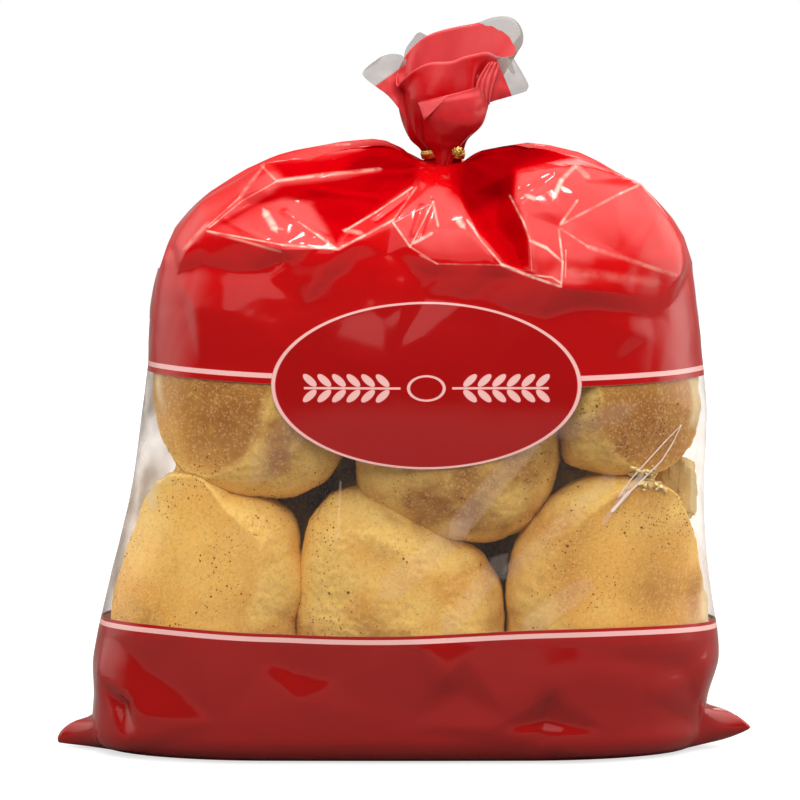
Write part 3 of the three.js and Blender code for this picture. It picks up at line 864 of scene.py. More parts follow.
def make_roll(name, outline, side, seed, film_tree, material):
    """side is -1 for a roll at the front and 1 for one at the back; its crust faces the film."""
    rng = random.Random(seed)
    offset = Vector((rng.uniform(-50, 50), rng.uniform(-50, 50), rng.uniform(-50, 50)))
    reach, centre = outline_reach(outline)
    middle = Vector((centre.x, side * (ROLL_DEPTH - 1), centre.y))
    bm = bmesh.new()
    bmesh.ops.create_cube(bm, size=2)
    bmesh.ops.subdivide_edges(bm, edges=bm.edges[:], cuts=ROLL_CUTS, use_grid_fill=True)
    torn, pressed, side_on, pale = (bm.verts.layers.float.new(name) for name in ROLL_LAYERS)
    for vert in bm.verts:
        local, normal = roll_point(vert.co.normalized(), reach)
        out = local.y * side / ROLL_DEPTH  # 1 at the top of the crust, -1 at the bottom
        lump = sum(noise.noise((local + offset) * wave) * height for wave, height in LUMPS)
        torn_off = smooth(0.15, 0.4, noise.noise((local + offset) * 0.03)) * (middle.x * local.x > 0)
        tear = torn_off * smooth(0.2, -0.1, out + 0.35 * noise.noise((local + offset) * 0.05))
        # darker on the sides and bottom: the baked brown crust, and painted shade in the gaps between the
        # rolls
        dark = smooth(0.3, -0.35, out + 0.2 * noise.noise((local + offset) * 0.04))
        if abs(middle.x) > OUTER_ROLL:
            dark *= smooth(*GOLDEN_SIDE, local.x * math.copysign(1, middle.x))
        crumb = noise.noise((local + offset) * 0.4)
        rough = noise.fractal((local + offset) * 0.14, 0.8, 2.1, 4) * TEAR_RISE
        local += normal * (lump + mix(crumb * CRUST_RISE, rough, tear))
        spot, past = inside_film(local + middle, film_tree)
        vert[pressed] = clamp01(past / PRESSED_OVER)
        vert[torn] = tear
        vert[side_on] = dark
        # patches: paler crust, and darker ones that are tan crust and partly painted shade
        vert[pale] = sum(
            strength * gauss(math.hypot((-spot.x * side - x) / wide, (spot.z - z) / high))
            for x, z, wide, high, strength in PATCHES
        )
        vert.co = spot
    bm.normal_update()
    crust_spots = [
        (vert.co.copy(), vert.normal.copy())
        for vert in bm.verts
        if vert[torn] < 0.3 and vert.normal.y * side > -0.1
        and noise.noise(vert.co * 0.045) * 0.9 > rng.random() * 0.6 - 0.04
    ]
    rng.shuffle(crust_spots)
    tree = BVHTree.FromBMesh(bm)
    return new_piece(name, bm, material), crust_spots[:GRAINS[side]], tree


# ------------------------------------------------------------------ crumbs and the torn piece

GRAINS = {-1: 620, 1: 200}  # crumbs on a roll at the front and at the back
GRAIN_RADIUS = (0.14, 0.42)
FLAKES = 260
FLAKE_RADIUS = (0.35, 1.25)
FLAKE_LINE = ((98.5, 126), (112.5, 120.5))
FLAKE_SPREAD = 1.5
CURL_MIDDLE = Vector((119.5, -16, 115.5))
CURL_SIZE = Vector((9.4, 8, 14.5))
CURL_OPENING = Vector((-0.3, -0.95, 0.1)).normalized()


def add_crumb(bm, spot, normal, radius, detail, rng, values):
    """A small crumb that lies flat on the surface at spot. values: what its layers hold."""
    spun = Matrix.Rotation(rng.uniform(0, 6.3), 4, "Z")
    turned = normal.to_track_quat("Z", "Y").to_matrix().to_4x4() @ spun
    size = Matrix.Diagonal((radius * rng.uniform(0.8, 1.4), radius, radius * rng.uniform(0.5, 0.9), 1))
    place = Matrix.Translation(spot + normal * radius * 0.2) @ turned @ size
    made = bmesh.ops.create_icosphere(bm, subdivisions=detail, radius=1, matrix=place)["verts"]
    for vert in made:
        vert.co += (vert.co - spot) * 0.8 * noise.noise(vert.co * 0.9)
        for layer, value in values.items():
            vert[layer] = value


def make_grains(groups, material):
    """The loose grains of the crumb coat, one group of spots to a roll."""
    rng = random.Random(5)
    whole = bmesh.new()
    for spots in groups:
        bm = bmesh.new()
        layer = bm.verts.layers.float.new("side_on")
        for spot, normal in spots:
            radius = mix(*GRAIN_RADIUS, rng.random() ** 2.5)
            shift = Vector((rng.uniform(-1, 1), rng.uniform(-1, 1), rng.uniform(-1, 1)))
            shift -= normal * shift.dot(normal)
            add_crumb(bm, spot + shift, normal, radius, 1, rng, {layer: rng.random()})
        mesh = bpy.data.meshes.new("grains_part")
        bm.to_mesh(mesh)
        bm.free()
        whole.from_mesh(mesh)
        bpy.data.meshes.remove(mesh)
    return new_piece("crumb_grains", whole, material)


def make_flakes(trees, film_tree, material):
    """Pale crumbs that lie in the dip above the right-hand roll."""
    rng = random.Random(9)
    bm = bmesh.new()
    for _ in range(FLAKES):
        x, z = Vector(FLAKE_LINE[0]).lerp(FLAKE_LINE[1], rng.random())
        x, z = rng.gauss(x, FLAKE_SPREAD), rng.gauss(z, FLAKE_SPREAD)
        hits = [tree.ray_cast(Vector((x, -100, z)), Vector((0, 1, 0))) for tree in trees]
        hits = [hit for hit in hits if hit[0]]
        if hits:
            spot, normal, _, _ = min(hits, key=lambda hit: hit[0].y)
            radius = mix(*FLAKE_RADIUS, rng.random() ** 1.5)
            spot, _ = inside_film(spot - Vector((0, radius, 0)), film_tree)
            add_crumb(bm, spot, normal, radius, 2, rng, {})
    return new_piece("crumb_flakes", bm, material)


def make_curl(film_tree, material):
    """The piece torn off at the right: a hollow of crumb with a rough rim."""
    bm = bmesh.new()
    bmesh.ops.create_icosphere(bm, subdivisions=6, radius=1)
    for vert in bm.verts:
        way = vert.co.normalized()
        hollow = smooth(0.35, 0.9, way.dot(CURL_OPENING) + 0.1 * noise.noise(way * 2))
        rough = noise.fractal(way * 3, 0.8, 2.1, 4) * 0.16
        reach = 1 + rough - 0.85 * hollow
        spot = Vector((way.x * CURL_SIZE.x, way.y * CURL_SIZE.y, way.z * CURL_SIZE.z)) * reach
        vert.co = inside_film(CURL_MIDDLE + spot, film_tree)[0]
    return new_piece("torn_curl", bm, material)


# ------------------------------------------------------------------ the knot of loose film

# The loose end above the tie, all as seen from the front: across and up from the neck, with how far
# back each point is, in mm. Its rim runs round from the left by the front.
KNOT_RIM = [
    (-19.9, 34, -6), (-18, 36.5, -8), (-12, 41.5, -10), (-5.6, 44.4, -11), (3.6, 45, -12), (9, 47, -12.3),
    (14, 48.2, -11.5), (19.7, 49, -9), (25, 47, -4), (30.5, 47.4, 0), (34.6, 51.8, 5), (35.4, 56.5, 9),
    (33.9, 60.8, 12.5), (30.8, 63.9, 15), (26.5, 64.8, 16.5), (20.9, 64, 17.5), (15, 61.9, 18),
    (7.3, 60.5, 18), (-1.9, 58.3, 17.5), (-8.1, 55.6, 15), (-14, 50.5, 10), (-17.5, 45.5, 5),
    (-19.8, 40, 0), (-20.5, 36.5, -3),
]
# How wide the unprinted film is at each of those points.
KNOT_CLEAR = [0, 0, 0, 0, 0, 0, 0, 0, 1, 3.5, 5.5, 7, 8.5, 8, 6.5, 3.5, 0, 0, 0, 0, 0, 0, 0, 0]
# Rings below the rim: height, middle, half width, half depth.
KNOT_RINGS = [
    (4, 0, 7.8, 7.6), (7, -0.6, 9.2, 8.2), (11, -2, 12.4, 10),
    (17, -0.4, 16.6, 12.6), (24.4, 0, 18.6, 15), (31, 1, 19.8, 16),
]
KNOT_COLUMNS = 264
KNOT_ROWS = 76
RIM_MIDDLE = (3, 2)
KNOT_PLEATS = 8
PLEAT_RISE = 1.1
KNOT_FOLD = 2.6  # the height of the wide soft folds
# Petals of loose film: rows from the foot up, each row from left to right.
SHIELD = [
    [(-2.8, -2.5, -10.2), (-1.4, -3, -10.8), (0, -3.2, -11), (1.2, -3, -10.8), (2, -2.5, -10.2)],
    [(-3.6, 3.5, -11), (-1.4, 4, -11.6), (1.4, 4.2, -11.8), (4, 4.6, -11), (7, 6, -7.6)],
    [(-7.8, 10, -11), (-3, 9.6, -13.6), (3, 9.2, -14), (8, 9.4, -12), (9.4, 9.8, -8)],
    [(-8.4, 19, -14), (-2.6, 18, -17.2), (5, 17.4, -18), (12.5, 17, -15.5), (16.8, 17.2, -9.5)],
    [(-9.6, 23.5, -15), (-3.2, 23.4, -17.8), (5, 24, -18.4), (13.5, 24.4, -15.6), (19.2, 24.6, -9.5)],
    [(-10.7, 26.6, -15.2), (-4, 28, -17.6), (4, 29.7, -18.2), (13, 32, -15.2), (19.4, 34, -10)],
    [(-9.8, 26.2, -14), (-3.6, 27.4, -16.4), (4, 29, -17), (12.8, 31.2, -14.2), (19.2, 33.2, -9.6)],
    [(-8, 18, -12), (-3, 17, -14), (4, 16, -15), (11, 16, -12), (15.8, 16.6, -8)],
]
CORNER = [
    [(-10.9, 26.7, -15.9), (-4.6, 27.8, -18.4), (1.6, 29.1, -19)],
    [(-10, 24.6, -16), (-6, 24.6, -18.2), (-1.4, 26, -18.9)],
    [(-8.9, 21.4, -15.7), (-7.6, 21, -16.9), (-5.4, 21.9, -18)],
    [(-8.1, 19.6, -15.2), (-8, 19.5, -15.3), (-7.8, 19.4, -15.5)],
]
PLEATED = [
    [(17.5, 26.5, -10.4), (19, 26, -9.6), (20.6, 26, -8.4)],
    [(14.3, 30.6, -13.4), (18, 30.8, -12), (21.6, 31, -8.8)],
    [(15.2, 36.6, -13.8), (19, 37, -12.2), (23.6, 38, -8.6)],
    [(19, 43, -11.8), (22, 43.6, -10.2), (24.8, 42.4, -7.6)],
    [(20.4, 44.6, -10.4), (22.4, 44.8, -9.6), (24.4, 43.8, -7.6)],
]
RIGHT_WING = [
    [(17, 24.5, -7.5), (21, 27, -6.6), (28.9, 29.4, -4.4), (36, 31.6, -2.2), (37, 32.8, -1.8)],
    [(19, 30, -7.2), (23.5, 32, -6.8), (30, 33.4, -4.6), (36, 34.4, -2.2), (37.6, 34.8, -1.6)],
    [(21.5, 38, -6.6), (25, 39, -5.2), (29, 40, -4), (33, 40.6, -1.4), (34.6, 40.6, -0.6)],
    [(23.5, 46, -5), (25.5, 46.6, -3.4), (28, 47, -2.2), (30, 47, 0), (31, 46.6, 0.6)],
]
LEFT_WING = [
    [(-15.5, 18.5, -7), (-19.4, 24.4, -5.4), (-24, 29.8, -4.2), (-28.7, 33.4, -3.2), (-33.2, 36.8, -2.2),
     (-34.9, 38.8, -1.6)],
    [(-17, 27, -4), (-20, 31.6, -2.8), (-24, 36, -2.6), (-28.7, 38.4, -2), (-33.4, 39.8, -1.6),
     (-35.2, 40, -1.2)],
    [(-17, 36, -1), (-20, 39.4, -0.4), (-23.4, 42.2, 0), (-27.6, 43.6, -0.2), (-32, 43, -0.4),
     (-33.4, 42.2, -0.6)],
    [(-16, 45.5, 2), (-18, 47.6, 1.6), (-21.4, 48.3, 1.2), (-25, 47.8, 0.8), (-27.4, 46.8, 0.4),
     (-28.4, 46, 0.2)],
]
TAB = [
    [(-17.4, 44, 14), (-12, 46, 17), (-4, 50, 19)],
    [(-16.3, 50.2, 16), (-12, 51.6, 18), (-5.4, 54, 19.4)],
    [(-13.6, 54.4, 17.6), (-10.6, 55.6, 18.4), (-6.4, 56, 19.4)],
    [(-11.6, 57, 18), (-9.8, 57.8, 18.6), (-7.6, 56.6, 19.2)],
]
FILM_THICKNESS = 0.16
ALL_PRINTED = 9.0  # for film_strip: so far inside the print that no edge shows, and so far outside
ALL_CLEAR = -9.0


def placed(across, up, back):
    """The point of the bag that is seen at this place above the neck, this far back."""
    x, z = NECK.x + across, NECK.z + up
    for _ in range(3):
        away = Vector((x, back, z)) - VIEW_CENTRE
        far = 1 + away.dot(VIEW_ALONG) / VIEW_DISTANCE
        x = VIEW_CENTRE.x + (NECK.x + across - VIEW_CENTRE.x) * far
        z = VIEW_CENTRE.z + ((NECK.z + up - VIEW_CENTRE.z) * far - back * VIEW_UP.y) / VIEW_UP.z
    return Vector((x, back, z))


def knot_point(u, v):
    """The gathered tube of film: u goes round it from the left by the front, v up to its rim."""
    count = len(KNOT_RIM)
    rim = through(KNOT_RIM, u)
    angle = math.atan2(rim.z - RIM_MIDDLE[1], rim.x - RIM_MIDDLE[0])
    column = []
    for up, middle, half_width, half_depth in KNOT_RINGS:
        column.append((middle + half_width * math.cos(angle), up, half_depth * math.sin(angle)))
    column.append(tuple(rim))
    spot = Vector(through(column, v, closed=False))
    low = 1 - smooth(0.1, 0.75, v)
    pleat = zigzag(KNOT_PLEATS * u + 0.5 * math.sin(3 * angle)) * PLEAT_RISE * low * smooth(0, 0.12, v)
    swirl = Vector((2.2 * math.cos(angle), 2.2 * math.sin(angle), 0.6 * v))
    fold = noise.noise(swirl) * KNOT_FOLD * smooth(0.15, 0.7, v) * (1 - smooth(0.85, 1, v))
    return placed(*spot) + Vector((math.cos(angle), math.sin(angle), 0)) * (pleat + fold)


def patch_point(rows, u, v):
    """A point of a petal: u goes along its rows and v up them."""
    column = [tuple(through(row, u, closed=False)) for row in rows]
    return placed(*through(column, v, closed=False))


def side_of(x, z, start, end):
    """How far (x, z) is to the left of the way from start to end."""
    run_x, run_z = end[0] - start[0], end[1] - start[1]
    return (run_x * (z - start[1]) - run_z * (x - start[0])) / math.hypot(run_x, run_z)


def film_strip(name, columns, rows, place, printed, tone, material):
    """Loose film. printed(u, v, co) is how far the print reaches past a point, and tone(u, v) how
    pale the print is painted there, as painted light."""
    bm = bmesh.new()
    bmesh.ops.create_grid(bm, x_segments=columns, y_segments=rows, size=0.5)
    ink = bm.verts.layers.float.new("printed")
    pale = bm.verts.layers.float.new("pale")
    for vert in bm.verts:
        u, v = vert.co.x + 0.5, vert.co.y + 0.5
        vert.co = place(u, v)
        vert[ink] = printed(u, v, vert.co)
        vert[pale] = tone(u, v)
    bmesh.ops.remove_doubles(bm, verts=bm.verts[:], dist=1e-3)
    bmesh.ops.recalc_face_normals(bm, faces=bm.faces[:])
    piece = new_piece(name, bm, material)
    wall = piece.modifiers.new("thickness", "SOLIDIFY")
    wall.thickness = FILM_THICKNESS * MM
    wall.offset = 0
    return piece


def knot_printed(u, v, co):
    """How far the print reaches past a point of the gathered tube."""
    x = u * len(KNOT_CLEAR)
    a, b = KNOT_CLEAR[int(x) % len(KNOT_CLEAR)], KNOT_CLEAR[(int(x) + 1) % len(KNOT_CLEAR)]
    clear = mix(a, b, smooth(0, 1, x - int(x)))
    return (co - knot_point(u, 1)).length - clear if clear > 0.2 else ALL_PRINTED


def knot_painted_light(u, v):
    """Painted light: deep red at the front with a painted highlight along its rim, and paler inside the
    back, as light shining through the film.
    """
    back = smooth(0.36, 0.46, u) * (1 - smooth(0.86, 0.93, u))
    edge = smooth(0.97, 0.995, v)
    front = 0.04 + 0.8 * edge
    return mix(front, 0.5, back)


def shield_painted_light(u, v):
    """Painted light: paler toward the fold at the petal's top, and palest along it, as a painted highlight.
    """
    upper = smooth(0.35, 0.66, v) * smooth(0.0, 0.4, u)
    fold = smooth(0.645, 0.665, v) * (1 - smooth(0.68, 0.72, v))
    return 0.05 + 0.3 * upper + 0.5 * fold


def petal(rows, waves=0, height=0.0):
    """place(u, v) for a petal of loose film, with soft waves across it."""
    def place(u, v):
        point = patch_point(rows, u, v)
        return point + Vector((0, -1, 0)) * (height * zigzag(waves * u) + 0.5 * noise.noise(point * 0.2))
    return place


def printed_left_of(start, end, soft):
    """printed(u, v, co) for film whose print ends at the line from start to end."""
    def printed(u, v, co):
        return side_of(co.x - NECK.x, co.z - NECK.z, start, end) / soft
    return printed


def make_knot(material):
    """The loose end: a gathered tube with its petals and wings."""
    def all_over(u, v, co):
        return ALL_PRINTED

    def nowhere(u, v, co):
        return ALL_CLEAR

    right_printed = printed_left_of((29.5, 30.6), (25.2, 41), 1.0)
    left_printed = printed_left_of((-18.6, 41.7), (-28.5, 34.6), 6.0)
    # the tones are painted light: each petal a red as pale as it is lit, and the pleats paler and darker in
    # turn, as lit and shaded facets
    strips = [
        ("knot", KNOT_COLUMNS, KNOT_ROWS, knot_point, knot_printed, knot_painted_light),
        ("shield", 60, 90, petal(SHIELD, 1.5, 0.5), all_over, shield_painted_light),
        ("corner", 24, 30, petal(CORNER), all_over, lambda u, v: 1.0),
        ("pleated", 40, 50, petal(PLEATED, 4, 0.45), all_over, lambda u, v: 0.5 + 0.3 * zigzag(4 * u)),
        ("wing_right", 50, 44, petal(RIGHT_WING, 1.5, 0.5), right_printed, lambda u, v: 0.3),
        ("wing_left", 56, 44, petal(LEFT_WING, 1.5, 0.5), left_printed, lambda u, v: 0.25),
        ("tab", 24, 30, petal(TAB), nowhere, lambda u, v: 0.0),
    ]
    return [film_strip("film_" + name, *strip, material) for name, *strip in strips]


# ------------------------------------------------------------------ the tie

RIBBON_HALF_WIDTH = 1.9
RIBBON_HALF_THICKNESS = 0.3
TIE_RADIUS = 9.2
TIE_RISE = 4  # above the neck
TWIST_TURN = -0.19  # round the neck, where the two ends are twisted together
TWIST_LENGTH = 5.2
TWISTS = 1.6


def ribbon_point(path, frame_at, u, v):
    """A flat ribbon with a wire down its middle: u goes round its edge and v along the path."""
    angle = 2 * math.pi * u
    across, out = frame_at(v)
    width = math.cos(angle) * RIBBON_HALF_WIDTH
    thick = math.sin(angle) * (RIBBON_HALF_THICKNESS + 0.35 * gauss(width / 0.6))
    crinkle = 0.12 * zigzag(70 * v + 0.8 * math.cos(angle))
    return path(v) + across * width + out * (thick + crinkle)


def round_neck(angle, radius, up):
    return NECK + Vector((radius * math.cos(angle), radius * math.sin(angle), up))


def wind_path(v):
    """Once round the neck, from the twisted ends back to them."""
    angle = 2 * math.pi * (TWIST_TURN + v)
    return round_neck(angle, TIE_RADIUS + 0.5 * smooth(0.85, 1, v), TIE_RISE + 0.5 * math.sin(3 * angle))


def wind_frame(v):
    """Which way the ribbon's width lies, and which way is out."""
    angle = 2 * math.pi * (TWIST_TURN + v)
    lean = 0.15 * math.sin(2 * angle)
    out = Vector((math.cos(angle), math.sin(angle), 0))
    return (Vector((0, 0, 1)) + out * lean).normalized(), out


def twist_path(v):
    """The two ends twisted together, out from the neck and a little to the side."""
    out, side = twist_sides()
    start = NECK + out * (TIE_RADIUS - 0.4) + Vector((0, 0, TIE_RISE))
    return start + out * TWIST_LENGTH * v + side * 3.0 * v * v + Vector((0, 0, 1.6 * math.sin(2.6 * v)))


def twist_sides():
    """Out from the neck at the twist, and to the side of it."""
    angle = 2 * math.pi * TWIST_TURN
    return Vector((math.cos(angle), math.sin(angle), 0)), Vector((-math.sin(angle), math.cos(angle), 0))


def twist_frame(v, phase):
    """wind_frame for a twisted end."""
    _, side = twist_sides()
    up = Vector((0, 0, 1))
    spin = 2 * math.pi * TWISTS * v + phase
    return side * math.cos(spin) + up * math.sin(spin), side * -math.sin(spin) + up * math.cos(spin)


def make_tie(material):
    """The foil ribbon: wound round the neck, with its two ends twisted together."""
    ribbons = [sheet(16, 220, lambda u, v: ribbon_point(wind_path, wind_frame, u, v))]
    for phase in (0.0, 1.57):
        def end_frame(v):
            return twist_frame(v, phase)
        ribbons.append(sheet(16, 60, lambda u, v: ribbon_point(twist_path, end_frame, u, v)))
    whole = bmesh.new()
    for part in ribbons:
        bmesh.ops.remove_doubles(part, verts=part.verts[:], dist=1e-4)
        bmesh.ops.holes_fill(part, edges=part.edges[:], sides=40)
        bmesh.ops.recalc_face_normals(part, faces=part.faces[:])
        mesh = bpy.data.meshes.new("tie_part")
        part.to_mesh(mesh)
        part.free()
        whole.from_mesh(mesh)
        bpy.data.meshes.remove(mesh)
    return new_piece("foil_tie", whole, material)


# ------------------------------------------------------------------ shading nodes


class Nodes:
    """A short way to write shader nodes. Inputs are sockets or plain values."""

    def __init__(self, tree):
        self.tree = tree

    def add(self, kind, settings=None, **inputs):
        node = self.tree.nodes.new(kind)
        for key, value in (settings or {}).items():
            setattr(node, key, value)
        for key, value in inputs.items():
            self.put(node.inputs[key.replace("_", " ")], value)
        return node

    def put(self, socket, value):
        if isinstance(value, bpy.types.NodeSocket):
            self.tree.links.new(value, socket)
        else:
            socket.default_value = value

    def calc(self, operation, *values, clamp=False):
        node = self.add("ShaderNodeMath", {"operation": operation, "use_clamp": clamp})
        for socket, value in zip(node.inputs, values):
            self.put(socket, value)
        return node.outputs[0]

    plus = partialmethod(calc, "ADD")
    minus = partialmethod(calc, "SUBTRACT")
    times = partialmethod(calc, "MULTIPLY")
    over = partialmethod(calc, "DIVIDE")
    times_plus = partialmethod(calc, "MULTIPLY_ADD")
    larger = partialmethod(calc, "MAXIMUM")
    smaller = partialmethod(calc, "MINIMUM")
    absolute = partialmethod(calc, "ABSOLUTE")

    def ramp(self, value, low, high, to_low=0.0, to_high=1.0):
        """Eases from to_low at low to to_high at high, also where low is the larger of the two."""
        node = self.add("ShaderNodeMapRange", {"interpolation_type": "SMOOTHSTEP"}, Value=value,
                        From_Min=low, From_Max=high, To_Min=to_low, To_Max=to_high)
        return node.outputs[0]

    def mix(self, factor, a, b):
        node = self.add("ShaderNodeMix", {"data_type": "RGBA"})
        for index, value in ((0, factor), (6, a), (7, b)):
            self.put(node.inputs[index], value)
        return node.outputs[2]

    def noise(self, vector, scale, detail=2.0, roughness=0.5, distortion=0.0):
        node = self.add("ShaderNodeTexNoise", Vector=vector, Scale=scale, Detail=detail,
                        Roughness=roughness, Distortion=distortion)
        return node.outputs[0]

    def cells(self, vector, scale):
        return self.add("ShaderNodeTexVoronoi", {"feature": "F1"}, Vector=vector, Scale=scale)

    def bump(self, height, strength, distance):
        return self.add("ShaderNodeBump", Height=height, Strength=strength, Distance=distance).outputs[0]

    def attribute(self, name):
        return self.add("ShaderNodeAttribute", {"attribute_name": name}).outputs["Fac"]

    def axes(self, vector):
        return self.add("ShaderNodeSeparateXYZ", Vector=vector).outputs[:3]

    def surface(self, **inputs):
        """Ends a material with the one shader that it has."""
        shader = self.add("ShaderNodeBsdfPrincipled", **inputs)
        self.add("ShaderNodeOutputMaterial", Surface=shader.outputs[0])


def rgb(r, g, b):
    """A colour read off a screen as 0 to 255, as the light values that shading works in."""
    light = (((c / 255 + 0.055) / 1.055) ** 2.4 if c > 10 else c / 255 / 12.92 for c in (r, g, b))
    return (*light, 1.0)


def new_material(name):
    material = bpy.data.materials.new(name)
    material.use_nodes = True
    material.node_tree.nodes.clear()
    return material, Nodes(material.node_tree)


def object_mm(n):
    """The Object coordinates, in millimetres about the bag's own middle line."""
    place = n.add("ShaderNodeTexCoord").outputs["Object"]
    scaled = n.add("ShaderNodeMapping", Vector=place, Scale=(1 / MM,) * 3, Location=tuple(-SHIFT))
    return scaled.outputs[0]


def seen_place(n, place):
    """Where a point of the film shows from the front: across and up on the middle plane."""
    x, y, z = n.axes(place)
    x = n.minus(x, VIEW_CENTRE.x)
    z = n.minus(z, VIEW_CENTRE.z)
    depth = n.times_plus(y, VIEW_ALONG.y, n.times(z, VIEW_ALONG.z))
    up = n.times_plus(y, VIEW_UP.y, n.times(z, VIEW_UP.z))
    near = n.over(VIEW_DISTANCE, n.plus(depth, VIEW_DISTANCE))
    return n.times_plus(x, near, VIEW_CENTRE.x), n.times_plus(up, near, VIEW_CENTRE.z)


# ------------------------------------------------------------------ the printed film's finish

LINE_Z = (166.5, 54.5)  # the two pale lines
LINE_HALF = 1.05
LABEL_LINE = 0.45
PRINT_EDGE = 0.12  # to each side of the print's edge, over which it begins
TOP_BOW = (0.000235, -0.0125)  # how the upper print's edge bows, by x squared and by x
LOW_WAVE = (210, -2.57, 1.6, 0.8)  # of the lower print's edge: length, phase, height and lift
TOP_FADE = (185.0, 232.0)  # heights between which the panel's red turns into the top's brighter red, painted light through the film
LOW_FADE = (60.0, 52.0)
# the next two reds are painted shade: a deeper red for doubled film in the folds, and the darkest for the
# hollows
RED_FOLD_SHADE = rgb(170, 0, 7)
RED_HOLLOW_SHADE = rgb(136, 0, 5)
RED_TOP_LIT = rgb(204, 6, 12)
RED_PANEL = rgb(172, 14, 16)
RED_LABEL = rgb(152, 13, 15)
RED_LOW_SHADED = rgb(150, 17, 16)
PALE = rgb(238, 186, 186)
CREASE_HIGHLIGHT_PINK = rgb(255, 206, 192)
CREASE_HIGHLIGHT_MOST = 0.72  # of the print's colour that a painted crease highlight hides
WRINKLE_RISE = 0.8 * MM


def film_group():
    """Fine wrinkles and scuffs that all the film has: a height and a roughness."""
    group = bpy.data.node_groups.new("film_wrinkles", "ShaderNodeTree")
    group.interface.new_socket(name="Vector", in_out="INPUT", socket_type="NodeSocketVector")
    group.interface.new_socket(name="Height", in_out="OUTPUT", socket_type="NodeSocketFloat")
    group.interface.new_socket(name="Roughness", in_out="OUTPUT", socket_type="NodeSocketFloat")
    n = Nodes(group)
    place = n.add("NodeGroupInput").outputs[0]
    end = n.add("NodeGroupOutput")
    broad = n.noise(place, 0.05, 2.0, 0.45, 0.4)
    fine = n.noise(place, 0.5, 2.0, 0.5)
    n.put(end.inputs["Height"], n.times_plus(fine, 0.04, broad))
    n.put(end.inputs["Roughness"], n.ramp(n.noise(place, 0.05, 3.0, 0.6), 0.3, 0.7, 0.08, 0.18))
    return group


def wrinkled(n, place, wrinkles, strength):
    """The normal and the roughness that the film's wrinkles give a material."""
    group = n.add("ShaderNodeGroup", {"node_tree": wrinkles}, Vector=place)
    return n.bump(group.outputs["Height"], strength, WRINKLE_RISE), group.outputs["Roughness"]


def print_colour(n, place):
    """The print's ink mask and its colour: red fields, two pale lines and the label."""
    x, y, z = n.axes(place)

    def under(value, edge):
        return n.ramp(value, edge + PRINT_EDGE, edge - PRINT_EDGE)

    bowed = n.times_plus(n.times(x, x), TOP_BOW[0], n.times(x, TOP_BOW[1]))
    z_top = n.minus(z, bowed)
    length, phase, height, lift = LOW_WAVE
    wave = n.calc("COSINE", n.times_plus(x, 2 * math.pi / length, phase))
    z_low = n.minus(z, n.times_plus(wave, height, lift))
    upper = n.ramp(z_top, WINDOW_HIGH - PRINT_EDGE, WINDOW_HIGH + PRINT_EDGE)
    lower = under(z_low, WINDOW_LOW)
    across = n.over(n.minus(x, LABEL.x), LABEL_HALF[0])
    up = n.over(n.minus(z, LABEL.z), LABEL_HALF[1])
    reach = n.calc("SQRT", n.plus(n.times(across, across), n.times(up, up)))
    outside = n.times(n.minus(reach, 1.0), LABEL_HALF[1])  # mm from the label's edge
    front = n.ramp(y, 0.0, -1.0)
    label = n.times(under(outside, LABEL_LINE), front)
    ring = n.times(under(n.absolute(outside), LABEL_LINE), front)
    top_line, low_line = (
        under(n.absolute(n.minus(at, line)), LINE_HALF) for at, line in zip((z_top, z_low), LINE_Z)
    )
    lines = n.times(n.larger(top_line, low_line), n.minus(1.0, label))
    motif = n.times(wheat_motif(n, x, z), front)
    pale = n.larger(n.larger(lines, ring), motif)
    ink = n.larger(n.larger(upper, lower), label)

    # painted light and shade: the red is painted brighter toward the top, as light through the film with
    # nothing behind it, and darker in the low band, as painted shade; the mottle is the ink's own
    mottle = n.noise(place, 0.03, 3.0, 0.55)
    high = n.times_plus(n.minus(mottle, 0.5), 0.5, n.ramp(z, *TOP_FADE), clamp=True)
    red = n.mix(high, RED_PANEL, RED_TOP_LIT)
    red = n.mix(n.ramp(z, *LOW_FADE), red, RED_LOW_SHADED)
    red = n.mix(n.times(label, 0.6), red, RED_LABEL)
    return ink, n.mix(pale, red, PALE)


# Two ears of grain that lie end to end in the label, with a small round roll between them.
EAR_PITCH = 6.2
EAR_GRAINS = 6
EAR_START = 13
GRAIN_SLANT = 0.75
GRAIN_AWAY = 3.3  # from the stem to a grain's middle
GRAIN_HALF = (2.1, 2.7)
GRAIN_EDGE = (1.08, 0.92)  # this and the next four: where the ink begins, and where it is full
STEM_EDGE = (0.55, 0.4)
STEM_START = (-2.1, -1.9)
STEM_END = (39.2, 38.8)
BUN_EDGE = (0.16, 0.13)
BUN_HALF = (8.2, 5.6)
BUN_LINE = 0.86  # the middle of its outline's stroke, 1 being at BUN_HALF


